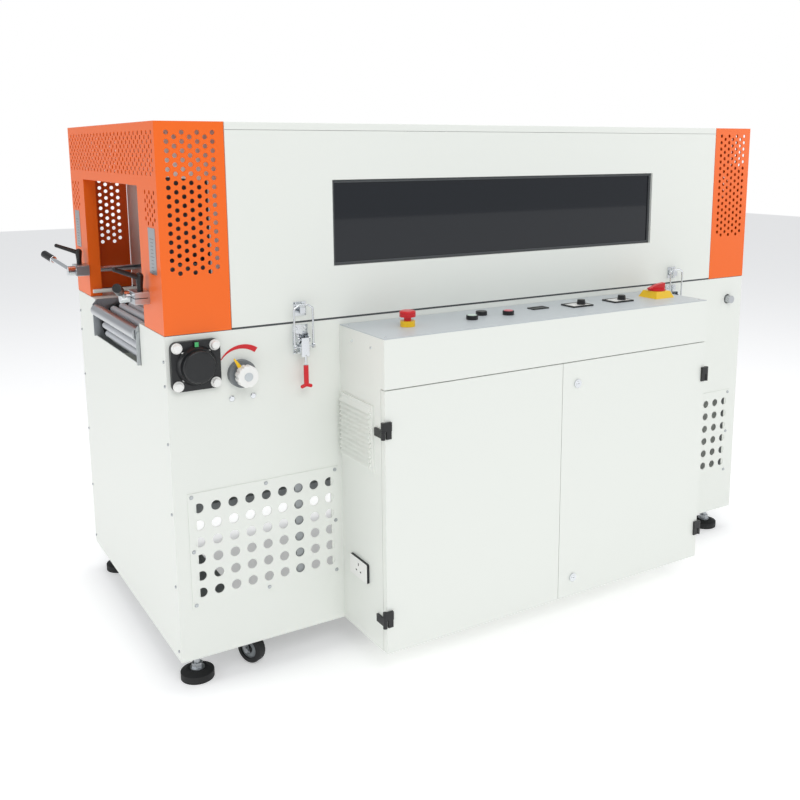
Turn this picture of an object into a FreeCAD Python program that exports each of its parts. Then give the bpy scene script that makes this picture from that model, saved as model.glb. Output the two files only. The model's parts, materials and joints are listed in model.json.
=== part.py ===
"""Roller-conveyor shrink tunnel with a lifting hood, modelled as separate pieces.

Millimetres, +Z up.  X runs along the conveyor with the infeed at -X, the operator's side
and the control cabinet are at -Y, and Z = 0 is the floor.  The pieces are laid out about
the middle of the machine body and at the end moved so that the origin is the middle of
the whole footprint.
"""
import FreeCAD
import Part
import math
import os

V = FreeCAD.Vector
AX = V(1, 0, 0)
AY = V(0, 1, 0)
AZ = V(0, 0, 1)

# ---------------------------------------------------------------- driving dimensions
BODY_LENGTH = 1910.0        # end face to end face
BODY_WIDTH = 858.0          # front skin to rear skin
GROUND_CLEARANCE = 80.0     # floor to the lower edge of the skins
BASE_HEIGHT = 794.0         # lower edge of the skins to the hood seam
HOOD_HEIGHT = 474.0         # hood seam to the top of the cover
SHEET = 2.5                 # base and hood sheet thickness
COVER_DEPTH = 18.0          # downturned edge of the top cover
FRAME_TUBE = 40.0           # square tube of the welded base frame
SLIT = 0.4                  # gap between pieces of different bodies
GAP = 1.5                   # visible panel gap
SEAL_HEIGHT = 5.0           # gasket between hood and base

GUARD_LENGTH = 157.0        # length of each end guard along the conveyor
GUARD_SHEET = 2.0
DOORWAY_HALF = 273.0        # half width of the product doorway
DOORWAY_HEIGHT = 331.0      # doorway height above the seam
JAMB_DEPTH = 30.0           # inward return of the doorway jambs
HOLE_PITCH = 20.0           # perforation pitch
SIDE_HOLE = 10.5            # perforation diameter on the guard sides
SIDE_HOLE_ROWS = 16
SIDE_HOLE_COLUMNS = 7

OPENING_HALF = 225.0        # half width of the conveyor opening in the end faces
OPENING_DEPTH = 106.0       # depth of that opening below the seam
CONVEYOR_DROP = 12.0        # top of the rods below the seam
ROD_PITCH = 25.4
ROD_TEETH = 12              # rods around one turn of the conveyor sprocket
ROD_SPANS = 70              # rod pitches on each straight run
SLEEVE_RADIUS = 9.5
SLEEVE_HALF = 190.0
PIN_RADIUS = 4.0
CHAIN_HALF = 206.0          # inner face of the chain side plates
CHAIN_PLATE = 4.0
CHAIN_DEPTH = 12.0
RAIL_HALF = 219.0           # inner face of the conveyor side rails
RAIL_THICK = 3.0
SHAFT_RADIUS = 12.5
BORE_CLEARANCE = 0.05       # radial running clearance
NOSE_RADIUS = 16.5
NOSE_RISE = 41.5            # nose roller axis above the conveyor shafts
NOSE_HALF = 214.0
GUIDE_HALF = 266.0          # product guide rods either side of the centre line
GUIDE_RISE = 16.0           # guide rods above the seam
GUIDE_RADIUS = 5.5

CABINET_LENGTH = 1062.0
CABINET_DEPTH = 228.0
CABINET_HEIGHT = 780.0
CABINET_OFFSET = 10.0       # cabinet centre to the right of the body centre
CONSOLE_HEIGHT = 120.0
DOOR_THICK = 18.0
CABINET_SHEET = 2.0

WINDOW_LENGTH = 1062.0
WINDOW_HEIGHT = 208.0
WINDOW_SILL = 132.0         # window opening above the seam
GLASS_THICK = 5.0

VENT_LENGTH = 389.0
VENT_HEIGHT = 288.0
VENT_INSET = 33.0           # vent panel edge to the body end
VENT_RISE = 129.0           # vent panel above the lower edge of the skins
VENT_HOLE = 24.0
VENT_PITCH = 42.3
VENT_COLUMNS = 9
VENT_ROWS = 6

FOOT_INSET_X = 55.0
FOOT_INSET_Y = 60.0
PAD_RADIUS = 41.0
PAD_HEIGHT = 24.0
STUD_RADIUS = 8.0
CASTER_INSET_X = 182.0
CASTER_INSET_Y = 78.0
WHEEL_RADIUS = 37.5
WHEEL_WIDTH = 26.0
WHEEL_LIFT = 2.0            # wheels clear the floor when the pads carry the machine
CASTER_TRAIL = 28.0

DAMPER_HALF = 284.0         # damper shafts either side of the centre line
DAMPER_RISE = 76.0          # damper shafts above the seam
DAMPER_RADIUS = 8.0
LATCH_X = 626.0             # toggle latches either side of the middle
KNOB_INSET = 175.0          # speed knob to the infeed end face
KNOB_RISE = 690.0           # speed knob above the lower edge of the skins
KNOB_STEM = 7.0             # control stem radius
BRACKET_THICK = 8.0
GEARBOX_LENGTH = 199.0      # drive gearbox on the infeed shaft, along the conveyor
GEARBOX_WIDTH = 108.0
GEARBOX_DROP = 104.0        # gearbox underside below the shaft
GEARBOX_RISE = 46.0
MOUTH_HALF = 300.0          # half width of the tunnel mouth in the hood ends
MOUTH_HEIGHT = 340.0
LINER_HALF = 345.0          # inner half width of the heated chamber
LINER_SHEET = 2.0
BLADE_DEPTH = 52.0          # air blade hanging from each damper shaft
BLOCK_LENGTH = 34.0         # clamp block on the guard's end face, along the conveyor
HINGE_OFFSET = 9.0          # hood hinge axis behind the rear skin
LATCH_PIVOT_DROP = 38.0     # latch lever axis below the seam
LATCH_PIVOT_OUT = 20.0      # latch lever axis in front of the skin
LOOP_HALF = 24.5            # half width of the latch loop
DOOR_HINGE_OUT = 6.0        # door hinge axis outside the cabinet corner
DEVICE_LINE = 115.0         # console devices behind the console's front edge
PLATE_THICK = 2.0
ESTOP_X = -390.0            # console devices along the machine
START_X = -204.0
LAMP_X = -147.0
STOP_X = -85.0
METER_X = 41.0
DIAL_X = (162.0, 313.0)
DIAL_OFFSET = 14.0          # thermostat spindle beside its scale plate's centre
SWITCH_X = 460.0

# ---------------------------------------------------------------- derived levels
X0 = -BODY_LENGTH / 2
X1 = BODY_LENGTH / 2
YF = -BODY_WIDTH / 2
YR = BODY_WIDTH / 2
Z_SKIN = GROUND_CLEARANCE
Z_SEAM = Z_SKIN + BASE_HEIGHT
Z_TOP = Z_SEAM + HOOD_HEIGHT
HOOD_X = X1 - GUARD_LENGTH
Z_OPENING = Z_SEAM - OPENING_DEPTH

SPROCKET_RADIUS = ROD_PITCH / (2 * math.sin(math.pi / ROD_TEETH))
Z_SHAFT = Z_SEAM - CONVEYOR_DROP - SLEEVE_RADIUS - SPROCKET_RADIUS
SHAFT_X = ROD_SPANS * ROD_PITCH / 2
Z_NOSE = Z_SHAFT + NOSE_RISE
Z_DAMPER = Z_SEAM + DAMPER_RISE

CAB_X0 = CABINET_OFFSET - CABINET_LENGTH / 2
CAB_X1 = CABINET_OFFSET + CABINET_LENGTH / 2
CAB_Y = YF - CABINET_DEPTH
CAB_TOP = Z_SKIN + CABINET_HEIGHT
CONSOLE_Z = CAB_TOP - CONSOLE_HEIGHT
RAIL_BOTTOM = Z_SHAFT - SPROCKET_RADIUS - 43.0
KNOB_X = X0 + KNOB_INSET
KNOB_Z = Z_SKIN + KNOB_RISE

nodes = {}


# ---------------------------------------------------------------- small shape helpers
def box(x0, x1, y0, y1, z0, z1):
    """Block between two corners."""
    return Part.makeBox(x1 - x0, y1 - y0, z1 - z0, V(x0, y0, z0))


def rod(start, end, radius):
    """Round bar from one point to another."""
    way = end - start
    return Part.makeCylinder(radius, way.Length, start, way)


def disc(centre, axis, radius, length):
    """Round bar of a given length, centred on a point."""
    start = centre - axis * (length / 2)
    return Part.makeCylinder(radius, length, start, axis)


def tube(centre, axis, outer, inner, length):
    """Hollow round bar, centred on a point."""
    return disc(centre, axis, outer, length).cut(disc(centre, axis, inner, length + 2))


def hexagon(centre, axis, across_flats, length):
    """Hexagonal nut or bolt head, centred on a point."""
    reach = across_flats / math.sqrt(3)
    side = AX if abs(axis.z) > 0.9 else axis.cross(AZ).normalize()
    corners = []
    for i in range(7):
        turn = FreeCAD.Rotation(axis, 60 * i)
        corners.append(centre - axis * (length / 2) + turn.multVec(side) * reach)
    return Part.Face(Part.makePolygon(corners)).extrude(axis * length)


def rounded(shape, radius, pick):
    """Fillet the edges that pick accepts."""
    edges = [edge for edge in shape.Edges if pick(edge)]
    return shape.makeFillet(radius, edges) if edges else shape


def upright(edge):
    """True for a straight vertical edge."""
    ends = edge.Vertexes
    if len(ends) != 2:
        return False
    way = ends[1].Point - ends[0].Point
    return abs(way.x) < 1e-6 and abs(way.y) < 1e-6


def rectangle(origin, along, up, length, height):
    """Closed rectangular wire from a corner."""
    a = origin
    b = origin + along * length
    c = b + up * height
    d = origin + up * height
    return Part.makePolygon([a, b, c, d, a])


def pierced(outline, holes, direction):
    """Plate from an outline wire and hole wires, extruded along a vector."""
    return Part.Face([outline] + holes).extrude(direction)


def ring_wire(centre, normal, radius):
    """Circular wire."""
    return Part.Wire([Part.Circle(centre, normal, radius).toShape()])


def screw_head(centre, axis, radius, height):
    """Low domed screw head standing on a face."""
    base = Part.makeCylinder(radius, height, centre, axis)
    rim = [edge for edge in base.Edges if len(edge.Vertexes) == 1
           and abs((edge.CenterOfMass - centre).dot(axis) - height) < 1e-6]
    return base.makeFillet(height * 0.6, rim)


def add(name, *shapes):
    """Register a node made of one or more separate solids."""
    solids = []
    for shape in shapes:
        solids.extend(shape.Solids)
    nodes[name] = Part.Compound(solids) if len(solids) > 1 else solids[0]


# ---------------------------------------------------------------- base
def base_frame():
    """Welded square-tube frame inside the skins: posts, sills, rails and cross members."""
    t = FRAME_TUBE
    inset = SHEET
    fx = X1 - inset
    fy = YR - inset
    z0 = Z_SKIN + 20
    z1 = Z_SEAM - SHEET
    parts = []
    for sx in (-1, 1):
        for sy in (-1, 1):
            xa, xb = sorted((sx * fx, sx * (fx - t)))
            ya, yb = sorted((sy * fy, sy * (fy - t)))
            parts.append(box(xa, xb, ya, yb, z0, z1 - t))
    for sy in (-1, 1):
        ya, yb = sorted((sy * fy, sy * (fy - t)))
        parts.append(box(-fx, fx, ya, yb, z1 - t, z1))
        parts.append(box(-fx + t, fx - t, ya, yb, z0, z0 + t))
    for sx in (-1, 1):
        xa, xb = sorted((sx * fx, sx * (fx - t)))
        parts.append(box(xa, xb, -fy + t, fy - t, z0, z0 + t))
    return parts


def rail_bearers():
    """Cross tubes that carry the conveyor rails on the sills' uprights."""
    t = FRAME_TUBE
    top = RAIL_BOTTOM
    reach = YR - SHEET
    parts = []
    for x in (-BODY_LENGTH * 0.33, 0.0, BODY_LENGTH * 0.33):
        parts.append(box(x - t / 2, x + t / 2, -reach + t, reach - t, top - t, top))
        for sy in (-1, 1):
            ya, yb = sorted((sy * reach, sy * (reach - t)))
            foot = Z_SKIN + 20 + t
            parts.append(box(x - t / 2, x + t / 2, ya, yb, foot, Z_SEAM - SHEET - t))
    return parts


def caster_bearers():
    """Flat bars across the sills that carry casters and levelling feet."""
    z0 = Z_SKIN + 20
    parts = []
    for sx in (-1, 1):
        x = sx * (X1 - CASTER_INSET_X)
        reach = YR - SHEET - FRAME_TUBE
        parts.append(box(x - 45, x + 45, -reach, reach, z0, z0 + 6))
    return parts


def vent_window(x_centre, oversize):
    """Rectangular hole wire behind a vent panel, in the front skin."""
    length = VENT_LENGTH - 2 * oversize
    height = VENT_HEIGHT - 2 * oversize
    corner = V(x_centre - length / 2, YF, Z_SKIN + VENT_RISE + oversize)
    return rectangle(corner, AX, AZ, length, height)


def vent_centre(side):
    """X of a vent panel's centre, side -1 for the infeed end."""
    return side * (X1 - VENT_INSET - VENT_LENGTH / 2)


def base_skins():
    """Front and rear skins; the front one is open behind the vent panels and shafts."""
    outline = rectangle(V(X0, YF, Z_SKIN), AX, AZ, BODY_LENGTH, BASE_HEIGHT)
    holes = [vent_window(vent_centre(side), 20) for side in (-1, 1)]
    for side in (-1, 1):
        holes.append(ring_wire(V(side * SHAFT_X, YF, Z_SHAFT), AY, SHAFT_RADIUS + 3))
    holes.append(ring_wire(V(KNOB_X, YF, KNOB_Z), AY, KNOB_STEM + 2))
    front = pierced(outline, holes, AY * SHEET)
    rear_line = rectangle(V(X0, YR - SHEET, Z_SKIN), AX, AZ, BODY_LENGTH, BASE_HEIGHT)
    rear_hole = rectangle(V(-330, YR - SHEET, Z_SKIN + 170), AX, AZ, 660, 400)
    rear = pierced(rear_line, [rear_hole], AY * SHEET)
    return front, rear


def rear_service_cover():
    """Louvred cover screwed over the rear service opening."""
    y = YR
    plate = box(-350, 350, y, y + 2, Z_SKIN + 150, Z_SKIN + 590)
    slots = []
    for row in range(8):
        z = Z_SKIN + 250 + row * 34
        slots.append(box(-250, 250, y - 1, y + 3, z, z + 8))
    return plate.cut(Part.Compound(slots))


def end_panels(side):
    """Lower end panel and the two cheeks beside the conveyor opening."""
    xa, xb = sorted((side * X1, side * (X1 - SHEET)))
    y = YR - SHEET
    lower = box(xa, xb, -y, y, Z_SKIN, Z_OPENING)
    cheeks = []
    for sy in (-1, 1):
        ya, yb = sorted((sy * OPENING_HALF, sy * y))
        cheeks.append(box(xa, xb, ya, yb, Z_OPENING, Z_SEAM))
    return lower, cheeks


def deck_plates():
    """Deck strips at the seam, outside the conveyor rails, seated on the frame."""
    reach = X1 - SHEET
    plates = []
    for sy in (-1, 1):
        ya, yb = sorted((sy * (RAIL_HALF + RAIL_THICK), sy * (YR - SHEET)))
        plates.append(box(-reach, reach, ya, yb, Z_SEAM - SHEET, Z_SEAM))
    return plates


def vent_panel(side):
    """Cover plate with a square field of round holes."""
    xc = vent_centre(side)
    zc = Z_SKIN + VENT_RISE + VENT_HEIGHT / 2
    y = YF - 2
    corner = V(xc - VENT_LENGTH / 2, y, zc - VENT_HEIGHT / 2)
    outline = rectangle(corner, AX, AZ, VENT_LENGTH, VENT_HEIGHT)
    holes = []
    for column in range(VENT_COLUMNS):
        for row in range(VENT_ROWS):
            x = xc + (column - (VENT_COLUMNS - 1) / 2) * VENT_PITCH
            z = zc + (row - (VENT_ROWS - 1) / 2) * VENT_PITCH
            holes.append(ring_wire(V(x, y, z), AY, VENT_HOLE / 2))
    return pierced(outline, holes, AY * 2)


# ---------------------------------------------------------------- feet and casters
def foot_places():
    """Centres of the four levelling feet on the floor."""
    for sx in (-1, 1):
        for sy in (-1, 1):
            yield V(sx * (X1 - FOOT_INSET_X), sy * (YR - FOOT_INSET_Y), 0)


def foot_brackets():
    """Angle plates in the frame corners that take the levelling studs."""
    z0 = Z_SKIN + 20
    plates = []
    for place in foot_places():
        sx = 1 if place.x > 0 else -1
        sy = 1 if place.y > 0 else -1
        xa, xb = sorted((sx * (X1 - SHEET - FRAME_TUBE), sx * (X1 - SHEET - FRAME_TUBE - 50)))
        ya, yb = sorted((sy * (YR - SHEET - FRAME_TUBE), sy * (YR - SHEET - FRAME_TUBE - 60)))
        plate = box(xa, xb, ya, yb, z0, z0 + 6)
        plates.append(plate)
    return plates


def foot_pads():
    """Ribbed rubber pads with a bevelled top."""
    pads = []
    for place in foot_places():
        body = Part.makeCylinder(PAD_RADIUS, PAD_HEIGHT - 6, place)
        bevel = Part.makeCone(PAD_RADIUS, PAD_RADIUS * 0.62, 6, place + V(0, 0, PAD_HEIGHT - 6))
        pads.append(body.fuse(bevel).removeSplitter())
    return pads


def foot_studs():
    """Threaded studs with their lock nuts, standing on the pads."""
    studs = []
    for place in foot_places():
        top = Z_SKIN + 20
        stud = Part.makeCylinder(STUD_RADIUS, top - PAD_HEIGHT, place + V(0, 0, PAD_HEIGHT))
        nut = hexagon(place + V(0, 0, PAD_HEIGHT + 9), AZ, 24, 12)
        flange = Part.makeCylinder(18, 3, place + V(0, 0, PAD_HEIGHT))
        lock = hexagon(place + V(0, 0, top - 6), AZ, 24, 12)
        studs.append(stud.fuse([nut, flange, lock]).removeSplitter())
    return studs


def caster_place(sx, sy):
    """Swivel axis of a caster at its mounting height."""
    return V(sx * (X1 - CASTER_INSET_X), sy * (YR - CASTER_INSET_Y), Z_SKIN + 20)


def caster_heading(sx, sy):
    """Unit vector from the swivel axis to the trailing wheel."""
    return V(0.45, -0.893, 0) if sy < 0 else V(0.8, 0.6, 0)


def caster_plate(place):
    """Fixed top plate and the upper swivel race."""
    plate = box(place.x - 30, place.x + 30, place.y - 30, place.y + 30, place.z - 4, place.z)
    race = Part.makeCylinder(20, 5, place - V(0, 0, 9))
    pivot = Part.makeCylinder(5, 12, place - V(0, 0, 16))
    return plate.fuse([race, pivot]).removeSplitter()


def wheel_centre(place, heading):
    """Wheel axis of a caster."""
    height = WHEEL_LIFT + WHEEL_RADIUS
    return V(place.x + heading.x * CASTER_TRAIL, place.y + heading.y * CASTER_TRAIL, height)


def caster_fork(place, heading):
    """Pressed fork: crown, two tapered legs and the axle."""
    hub = wheel_centre(place, heading)
    across = V(-heading.y, heading.x, 0)
    crown_z = place.z - 16
    crown = Part.makeCylinder(22, 6.6, V(place.x, place.y, crown_z))
    crown = crown.cut(Part.makeCylinder(5.05, 20, V(place.x, place.y, crown_z - 5)))
    top_z = crown_z + 6.6
    legs = []
    for side in (-1, 1):
        offset = across * (side * (WHEEL_WIDTH / 2 + 1.5))
        outward = across * (side * 2.5)
        centre = V(place.x, place.y, 0) + offset
        points = [
            V(centre.x - heading.x * 17, centre.y - heading.y * 17, top_z),
            V(centre.x + heading.x * 19, centre.y + heading.y * 19, top_z),
            V(hub.x + offset.x + heading.x * 9, hub.y + offset.y + heading.y * 9, hub.z - 6),
            V(hub.x + offset.x - heading.x * 9, hub.y + offset.y - heading.y * 9, hub.z - 6),
        ]
        leg = Part.Face(Part.makePolygon(points + [points[0]])).extrude(outward)
        legs.append(leg)
    reach = WHEEL_WIDTH / 2 + 7.5
    axle = rod(hub - across * reach, hub + across * reach, 4)
    heads = [hexagon(hub + across * (side * (reach - 2)), across, 13, 5) for side in (-1, 1)]
    return crown.fuse(legs + [axle] + heads).removeSplitter()


def caster_wheel(place, heading):
    """Tread with a dished hub and a running bore."""
    hub = wheel_centre(place, heading)
    across = V(-heading.y, heading.x, 0)
    wheel = disc(hub, across, WHEEL_RADIUS, WHEEL_WIDTH)
    rims = [edge for edge in wheel.Edges if len(edge.Vertexes) == 1]
    wheel = wheel.makeFillet(5, rims)
    for side in (-1, 1):
        dish = tube(hub + across * (side * WHEEL_WIDTH / 2), across, 25, 11, 8)
        wheel = wheel.cut(dish)
    return wheel.cut(disc(hub, across, 4 + BORE_CLEARANCE, WHEEL_WIDTH + 2))


# ---------------------------------------------------------------- conveyor
def rail_plate(sy):
    """Side rail that carries shafts, nose pins, wear strips and cross bars."""
    inner = X1 - SHEET - 1.5
    outer = X1 + 9
    y = sy * RAIL_HALF if sy > 0 else -RAIL_HALF - RAIL_THICK
    low = Z_OPENING + 2
    corners = [
        V(-inner, y, RAIL_BOTTOM), V(inner, y, RAIL_BOTTOM), V(inner, y, low),
        V(outer, y, low), V(outer, y, Z_SEAM - 14), V(inner, y, Z_SEAM),
        V(-inner, y, Z_SEAM), V(-outer, y, Z_SEAM - 14), V(-outer, y, low), V(-inner, y, low),
    ]
    outline = Part.makePolygon(corners + [corners[0]])
    holes = []
    for sx in (-1, 1):
        holes.append(ring_wire(V(sx * SHAFT_X, y, Z_SHAFT), AY, SHAFT_RADIUS + 1.5))
        holes.append(ring_wire(V(sx * X1, y, Z_NOSE), AY, 6))
    return pierced(outline, holes, AY * RAIL_THICK)


def carpet_places():
    """Rod axes (x, z) round the closed loop."""
    places = []
    for i in range(ROD_SPANS + 1):
        x = -SHAFT_X + i * ROD_PITCH
        places.append((x, Z_SHAFT + SPROCKET_RADIUS))
        places.append((x, Z_SHAFT - SPROCKET_RADIUS))
    step = 2 * math.pi / ROD_TEETH
    for k in range(1, ROD_TEETH // 2):
        turn = math.pi / 2 - k * step
        dx = SPROCKET_RADIUS * math.cos(turn)
        dz = SPROCKET_RADIUS * math.sin(turn)
        places.append((SHAFT_X + dx, Z_SHAFT + dz))
        places.append((-SHAFT_X - dx, Z_SHAFT + dz))
    return places


def conveyor_rods():
    """Sleeved rods; each is one turned piece with reduced pin ends."""
    pin, sleeve = PIN_RADIUS, SLEEVE_RADIUS
    points = [V(0, -CHAIN_HALF, 0), V(pin, -CHAIN_HALF, 0), V(pin, -SLEEVE_HALF, 0),
              V(sleeve, -SLEEVE_HALF, 0), V(sleeve, SLEEVE_HALF, 0), V(pin, SLEEVE_HALF, 0),
              V(pin, CHAIN_HALF, 0), V(0, CHAIN_HALF, 0)]
    master = Part.Face(Part.makePolygon(points + [points[0]])).revolve(V(0, 0, 0), AY, 360)
    rods = []
    for x, z in carpet_places():
        copy = master.copy()
        copy.translate(V(x, 0, z))
        rods.append(copy)
    return rods


def loop_plate(centre_a, centre_b, radius, depth, y0, thick):
    """Closed band round two parallel shafts: the side plates of a chain."""
    way = (centre_b - centre_a).normalize()
    up = AY.cross(way) * -1

    def band(r):
        a_top = centre_a + up * r
        b_top = centre_b + up * r
        a_low = centre_a - up * r
        b_low = centre_b - up * r
        edges = [
            Part.LineSegment(a_top, b_top).toShape(),
            Part.Arc(b_top, centre_b + way * r, b_low).toShape(),
            Part.LineSegment(b_low, a_low).toShape(),
            Part.Arc(a_low, centre_a - way * r, a_top).toShape(),
        ]
        return Part.Wire(edges)

    face = Part.Face([band(radius + depth / 2), band(radius - depth / 2)])
    plate = face.extrude(AY * thick)
    plate.translate(V(0, y0, 0))
    return plate


def conveyor_chains():
    """Side plates of the two conveyor chains, outside the sprockets."""
    a = V(-SHAFT_X, 0, Z_SHAFT)
    b = V(SHAFT_X, 0, Z_SHAFT)
    front = loop_plate(a, b, SPROCKET_RADIUS, CHAIN_DEPTH, -CHAIN_HALF - CHAIN_PLATE, CHAIN_PLATE)
    rear = loop_plate(a, b, SPROCKET_RADIUS, CHAIN_DEPTH, CHAIN_HALF, CHAIN_PLATE)
    return front, rear


def conveyor_shaft(side, y_start):
    """Shaft with the two plain wheels that the chain's pins run on, and their hubs."""
    x = side * SHAFT_X
    shaft = rod(V(x, y_start, Z_SHAFT), V(x, RAIL_HALF + 26, Z_SHAFT), SHAFT_RADIUS)
    parts = []
    for sy in (-1, 1):
        y = sy * (SLEEVE_HALF + 9)
        parts.append(disc(V(x, y, Z_SHAFT), AY, SPROCKET_RADIUS - PIN_RADIUS - SLIT, 6))
        parts.append(disc(V(x, y - sy * 12, Z_SHAFT), AY, SHAFT_RADIUS + 9, 22))
    return shaft.fuse(parts).removeSplitter()


def rail_bearings():
    """Flanged bearings on the rails, where a shaft has no bearing on the front skin."""
    bearings = []
    for sx, sy in ((-1, -1), (-1, 1), (1, -1), (1, 1)):
        centre = V(sx * SHAFT_X, sy * (RAIL_HALF + RAIL_THICK + 7), Z_SHAFT)
        ring = disc(centre, AY, 30, 14)
        bore = disc(centre, AY, SHAFT_RADIUS + BORE_CLEARANCE, 16)
        bearings.append(ring.cut(bore))
    return bearings


def wear_strips():
    """Plastic strips under the carrying run and under the return run."""
    reach = SHAFT_X - SPROCKET_RADIUS - 24
    strips = []
    for level in (1, -1):
        top = Z_SHAFT + level * SPROCKET_RADIUS - SLEEVE_RADIUS - 0.3
        for sy in (-1, 1):
            y = sy * (SLEEVE_HALF - 24)
            strips.append(box(-reach, reach, y - 8, y + 8, top - 8, top))
    return strips


def cross_bars():
    """Bars between the rails that carry the wear strips."""
    reach = SHAFT_X - SPROCKET_RADIUS - 60
    bars = []
    for level in (1, -1):
        top = Z_SHAFT + level * SPROCKET_RADIUS - SLEEVE_RADIUS - 8.3
        for i in range(6):
            x = -reach + i * 2 * reach / 5
            bars.append(box(x - 12, x + 12, -RAIL_HALF, RAIL_HALF, top - 18, top))
    return bars


def guide_rods():
    """Slim product guides beside the doorways, on short posts seated on the deck."""
    rods = []
    for sy in (-1, 1):
        y = sy * GUIDE_HALF
        z = Z_SEAM + GUIDE_RISE
        bar = rod(V(-X1 + 6, y, z), V(X1 - 6, y, z), GUIDE_RADIUS)
        posts = [box(x - 5, x + 5, y - 3, y + 3, Z_SEAM, z) for x in (-X1 * 0.78, 0.0, X1 * 0.78)]
        rods.append(bar.fuse(posts).removeSplitter())
    return rods


def nose_roller(side):
    """Free-turning transfer roller in the mouth of the conveyor opening."""
    centre = V(side * X1, 0, Z_NOSE)
    roller = disc(centre, AY, NOSE_RADIUS, 2 * NOSE_HALF)
    rims = [edge for edge in roller.Edges if len(edge.Vertexes) == 1]
    roller = roller.makeFillet(1.5, rims)
    return roller.cut(disc(centre, AY, 6 + BORE_CLEARANCE, 2 * NOSE_HALF + 2))


def nose_pin(side):
    """Fixed pin through both rails with a hexagon head at each end."""
    reach = RAIL_HALF + RAIL_THICK
    centre = V(side * X1, 0, Z_NOSE)
    pin = disc(centre, AY, 5.95, 2 * reach)
    heads = [hexagon(centre + AY * (sy * (reach + 1.3)), AY, 17, 2.6) for sy in (-1, 1)]
    return pin.fuse(heads)


# ---------------------------------------------------------------- drive
def gearbox_y():
    """Front and rear planes of the gearbox, behind its bracket."""
    front = YF + SHEET + FRAME_TUBE + BRACKET_THICK
    return front, front + GEARBOX_WIDTH


def gearbox_x():
    """Ends of the gearbox along the conveyor; it reaches past shaft and knob."""
    start = -SHAFT_X - 45
    return start, start + GEARBOX_LENGTH


def drive_bracket():
    """Plate hung from the frame's top rail, behind the speed knob."""
    y1 = gearbox_y()[0]
    xa, xb = gearbox_x()
    plate = box(xa, xb + 14, y1 - BRACKET_THICK, y1, Z_SHAFT - GEARBOX_DROP - 12, Z_SEAM - SHEET - 2)
    for x, z, radius in ((KNOB_X, KNOB_Z, KNOB_STEM + 2), (-SHAFT_X, Z_SHAFT, SHAFT_RADIUS + 2)):
        plate = plate.cut(disc(V(x, y1, z), AY, radius, 40))
    return plate


def variator_housing():
    """Cast hollow-shaft variable gearbox on the infeed shaft, with a motor flange below."""
    y0, y1 = gearbox_y()
    xa, xb = gearbox_x()
    case = box(xa, xb, y0, y1, Z_SHAFT - GEARBOX_DROP, Z_SHAFT + GEARBOX_RISE)
    case = rounded(case, 14, lambda e: abs(e.BoundBox.YLength - (y1 - y0)) < 1e-3)
    flange = Part.makeCylinder(46, 10, V((xa + xb) / 2, (y0 + y1) / 2, Z_SHAFT - GEARBOX_DROP - 10))
    boss = disc(V(-SHAFT_X, y1 + 3, Z_SHAFT), AY, 27, 8)
    case = case.fuse([flange, boss])
    bore = disc(V(-SHAFT_X, y1 - GEARBOX_WIDTH / 2, Z_SHAFT), AY, SHAFT_RADIUS + BORE_CLEARANCE, 200)
    stem = disc(V(KNOB_X, y0, KNOB_Z), AY, KNOB_STEM + BORE_CLEARANCE, 40)
    return case.cut(bore).cut(stem).removeSplitter()


def drive_motor():
    """Finned vertical motor with a fan cowl."""
    y = sum(gearbox_y()) / 2
    x = sum(gearbox_x()) / 2
    top = Z_SHAFT - GEARBOX_DROP - 10
    motor = Part.makeCylinder(40, 200, V(x, y, top - 200))
    fins = []
    for i in range(20):
        turn = FreeCAD.Rotation(AZ, i * 18)
        fin = box(36, 47, -1.5, 1.5, top - 150, top - 14)
        fin.Placement = FreeCAD.Placement(V(x, y, 0), turn)
        fins.append(fin)
    cowl = Part.makeCylinder(48, 46, V(x, y, top - 200))
    return motor.fuse(fins + [cowl]).removeSplitter()


# ---------------------------------------------------------------- end guards
def staggered(origin, along, up, columns, rows, keep):
    """Centres of a triangular hole field, filtered by keep(along, up) distances."""
    places = []
    for i in range(columns):
        a = i * HOLE_PITCH * math.sin(math.pi / 3)
        for k in range(rows):
            b = k * HOLE_PITCH + (HOLE_PITCH / 2 if i % 2 else 0)
            if keep(a, b):
                places.append(origin + along * a + up * b)
    return places


def guard_sides(side):
    """Front and rear plates of an end guard with their perforation."""
    x_low = X0 if side < 0 else X1 - GUARD_LENGTH
    z0 = Z_SEAM + GAP
    z1 = Z_TOP - GUARD_SHEET
    field = (SIDE_HOLE_COLUMNS - 1) * HOLE_PITCH * math.sin(math.pi / 3)
    plates = []
    for y in (YF, YR - GUARD_SHEET):
        outline = rectangle(V(x_low, y, z0), AX, AZ, GUARD_LENGTH, z1 - z0)
        start = V(x_low + (GUARD_LENGTH - field) / 2, y, Z_TOP - 24)
        places = staggered(start, AX, -AZ, SIDE_HOLE_COLUMNS, SIDE_HOLE_ROWS, lambda a, b: True)
        holes = [ring_wire(place, AY, SIDE_HOLE / 2) for place in places]
        plates.append(pierced(outline, holes, AY * GUARD_SHEET))
    return plates


def guard_seats(side):
    """Thin strips between the guard's side plates and the base."""
    x_low = X0 if side < 0 else X1 - GUARD_LENGTH
    seats = []
    for sy in (-1, 1):
        ya, yb = sorted((sy * (YR - GUARD_SHEET), sy * (YR - 0.8)))
        seats.append(box(x_low + 2, x_low + GUARD_LENGTH - 2, ya, yb, Z_SEAM, Z_SEAM + GAP))
    return seats


def guard_top(side):
    """Plain top plate of an end guard."""
    x_low = X0 if side < 0 else X1 - GUARD_LENGTH
    return box(x_low, x_low + GUARD_LENGTH, YF, YR, Z_TOP - GUARD_SHEET, Z_TOP)


def guard_end_x(side):
    """Outer X of the sheet at a guard's end, as a low value for extrusion along +X."""
    return X0 if side < 0 else X1 - GUARD_SHEET


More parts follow.
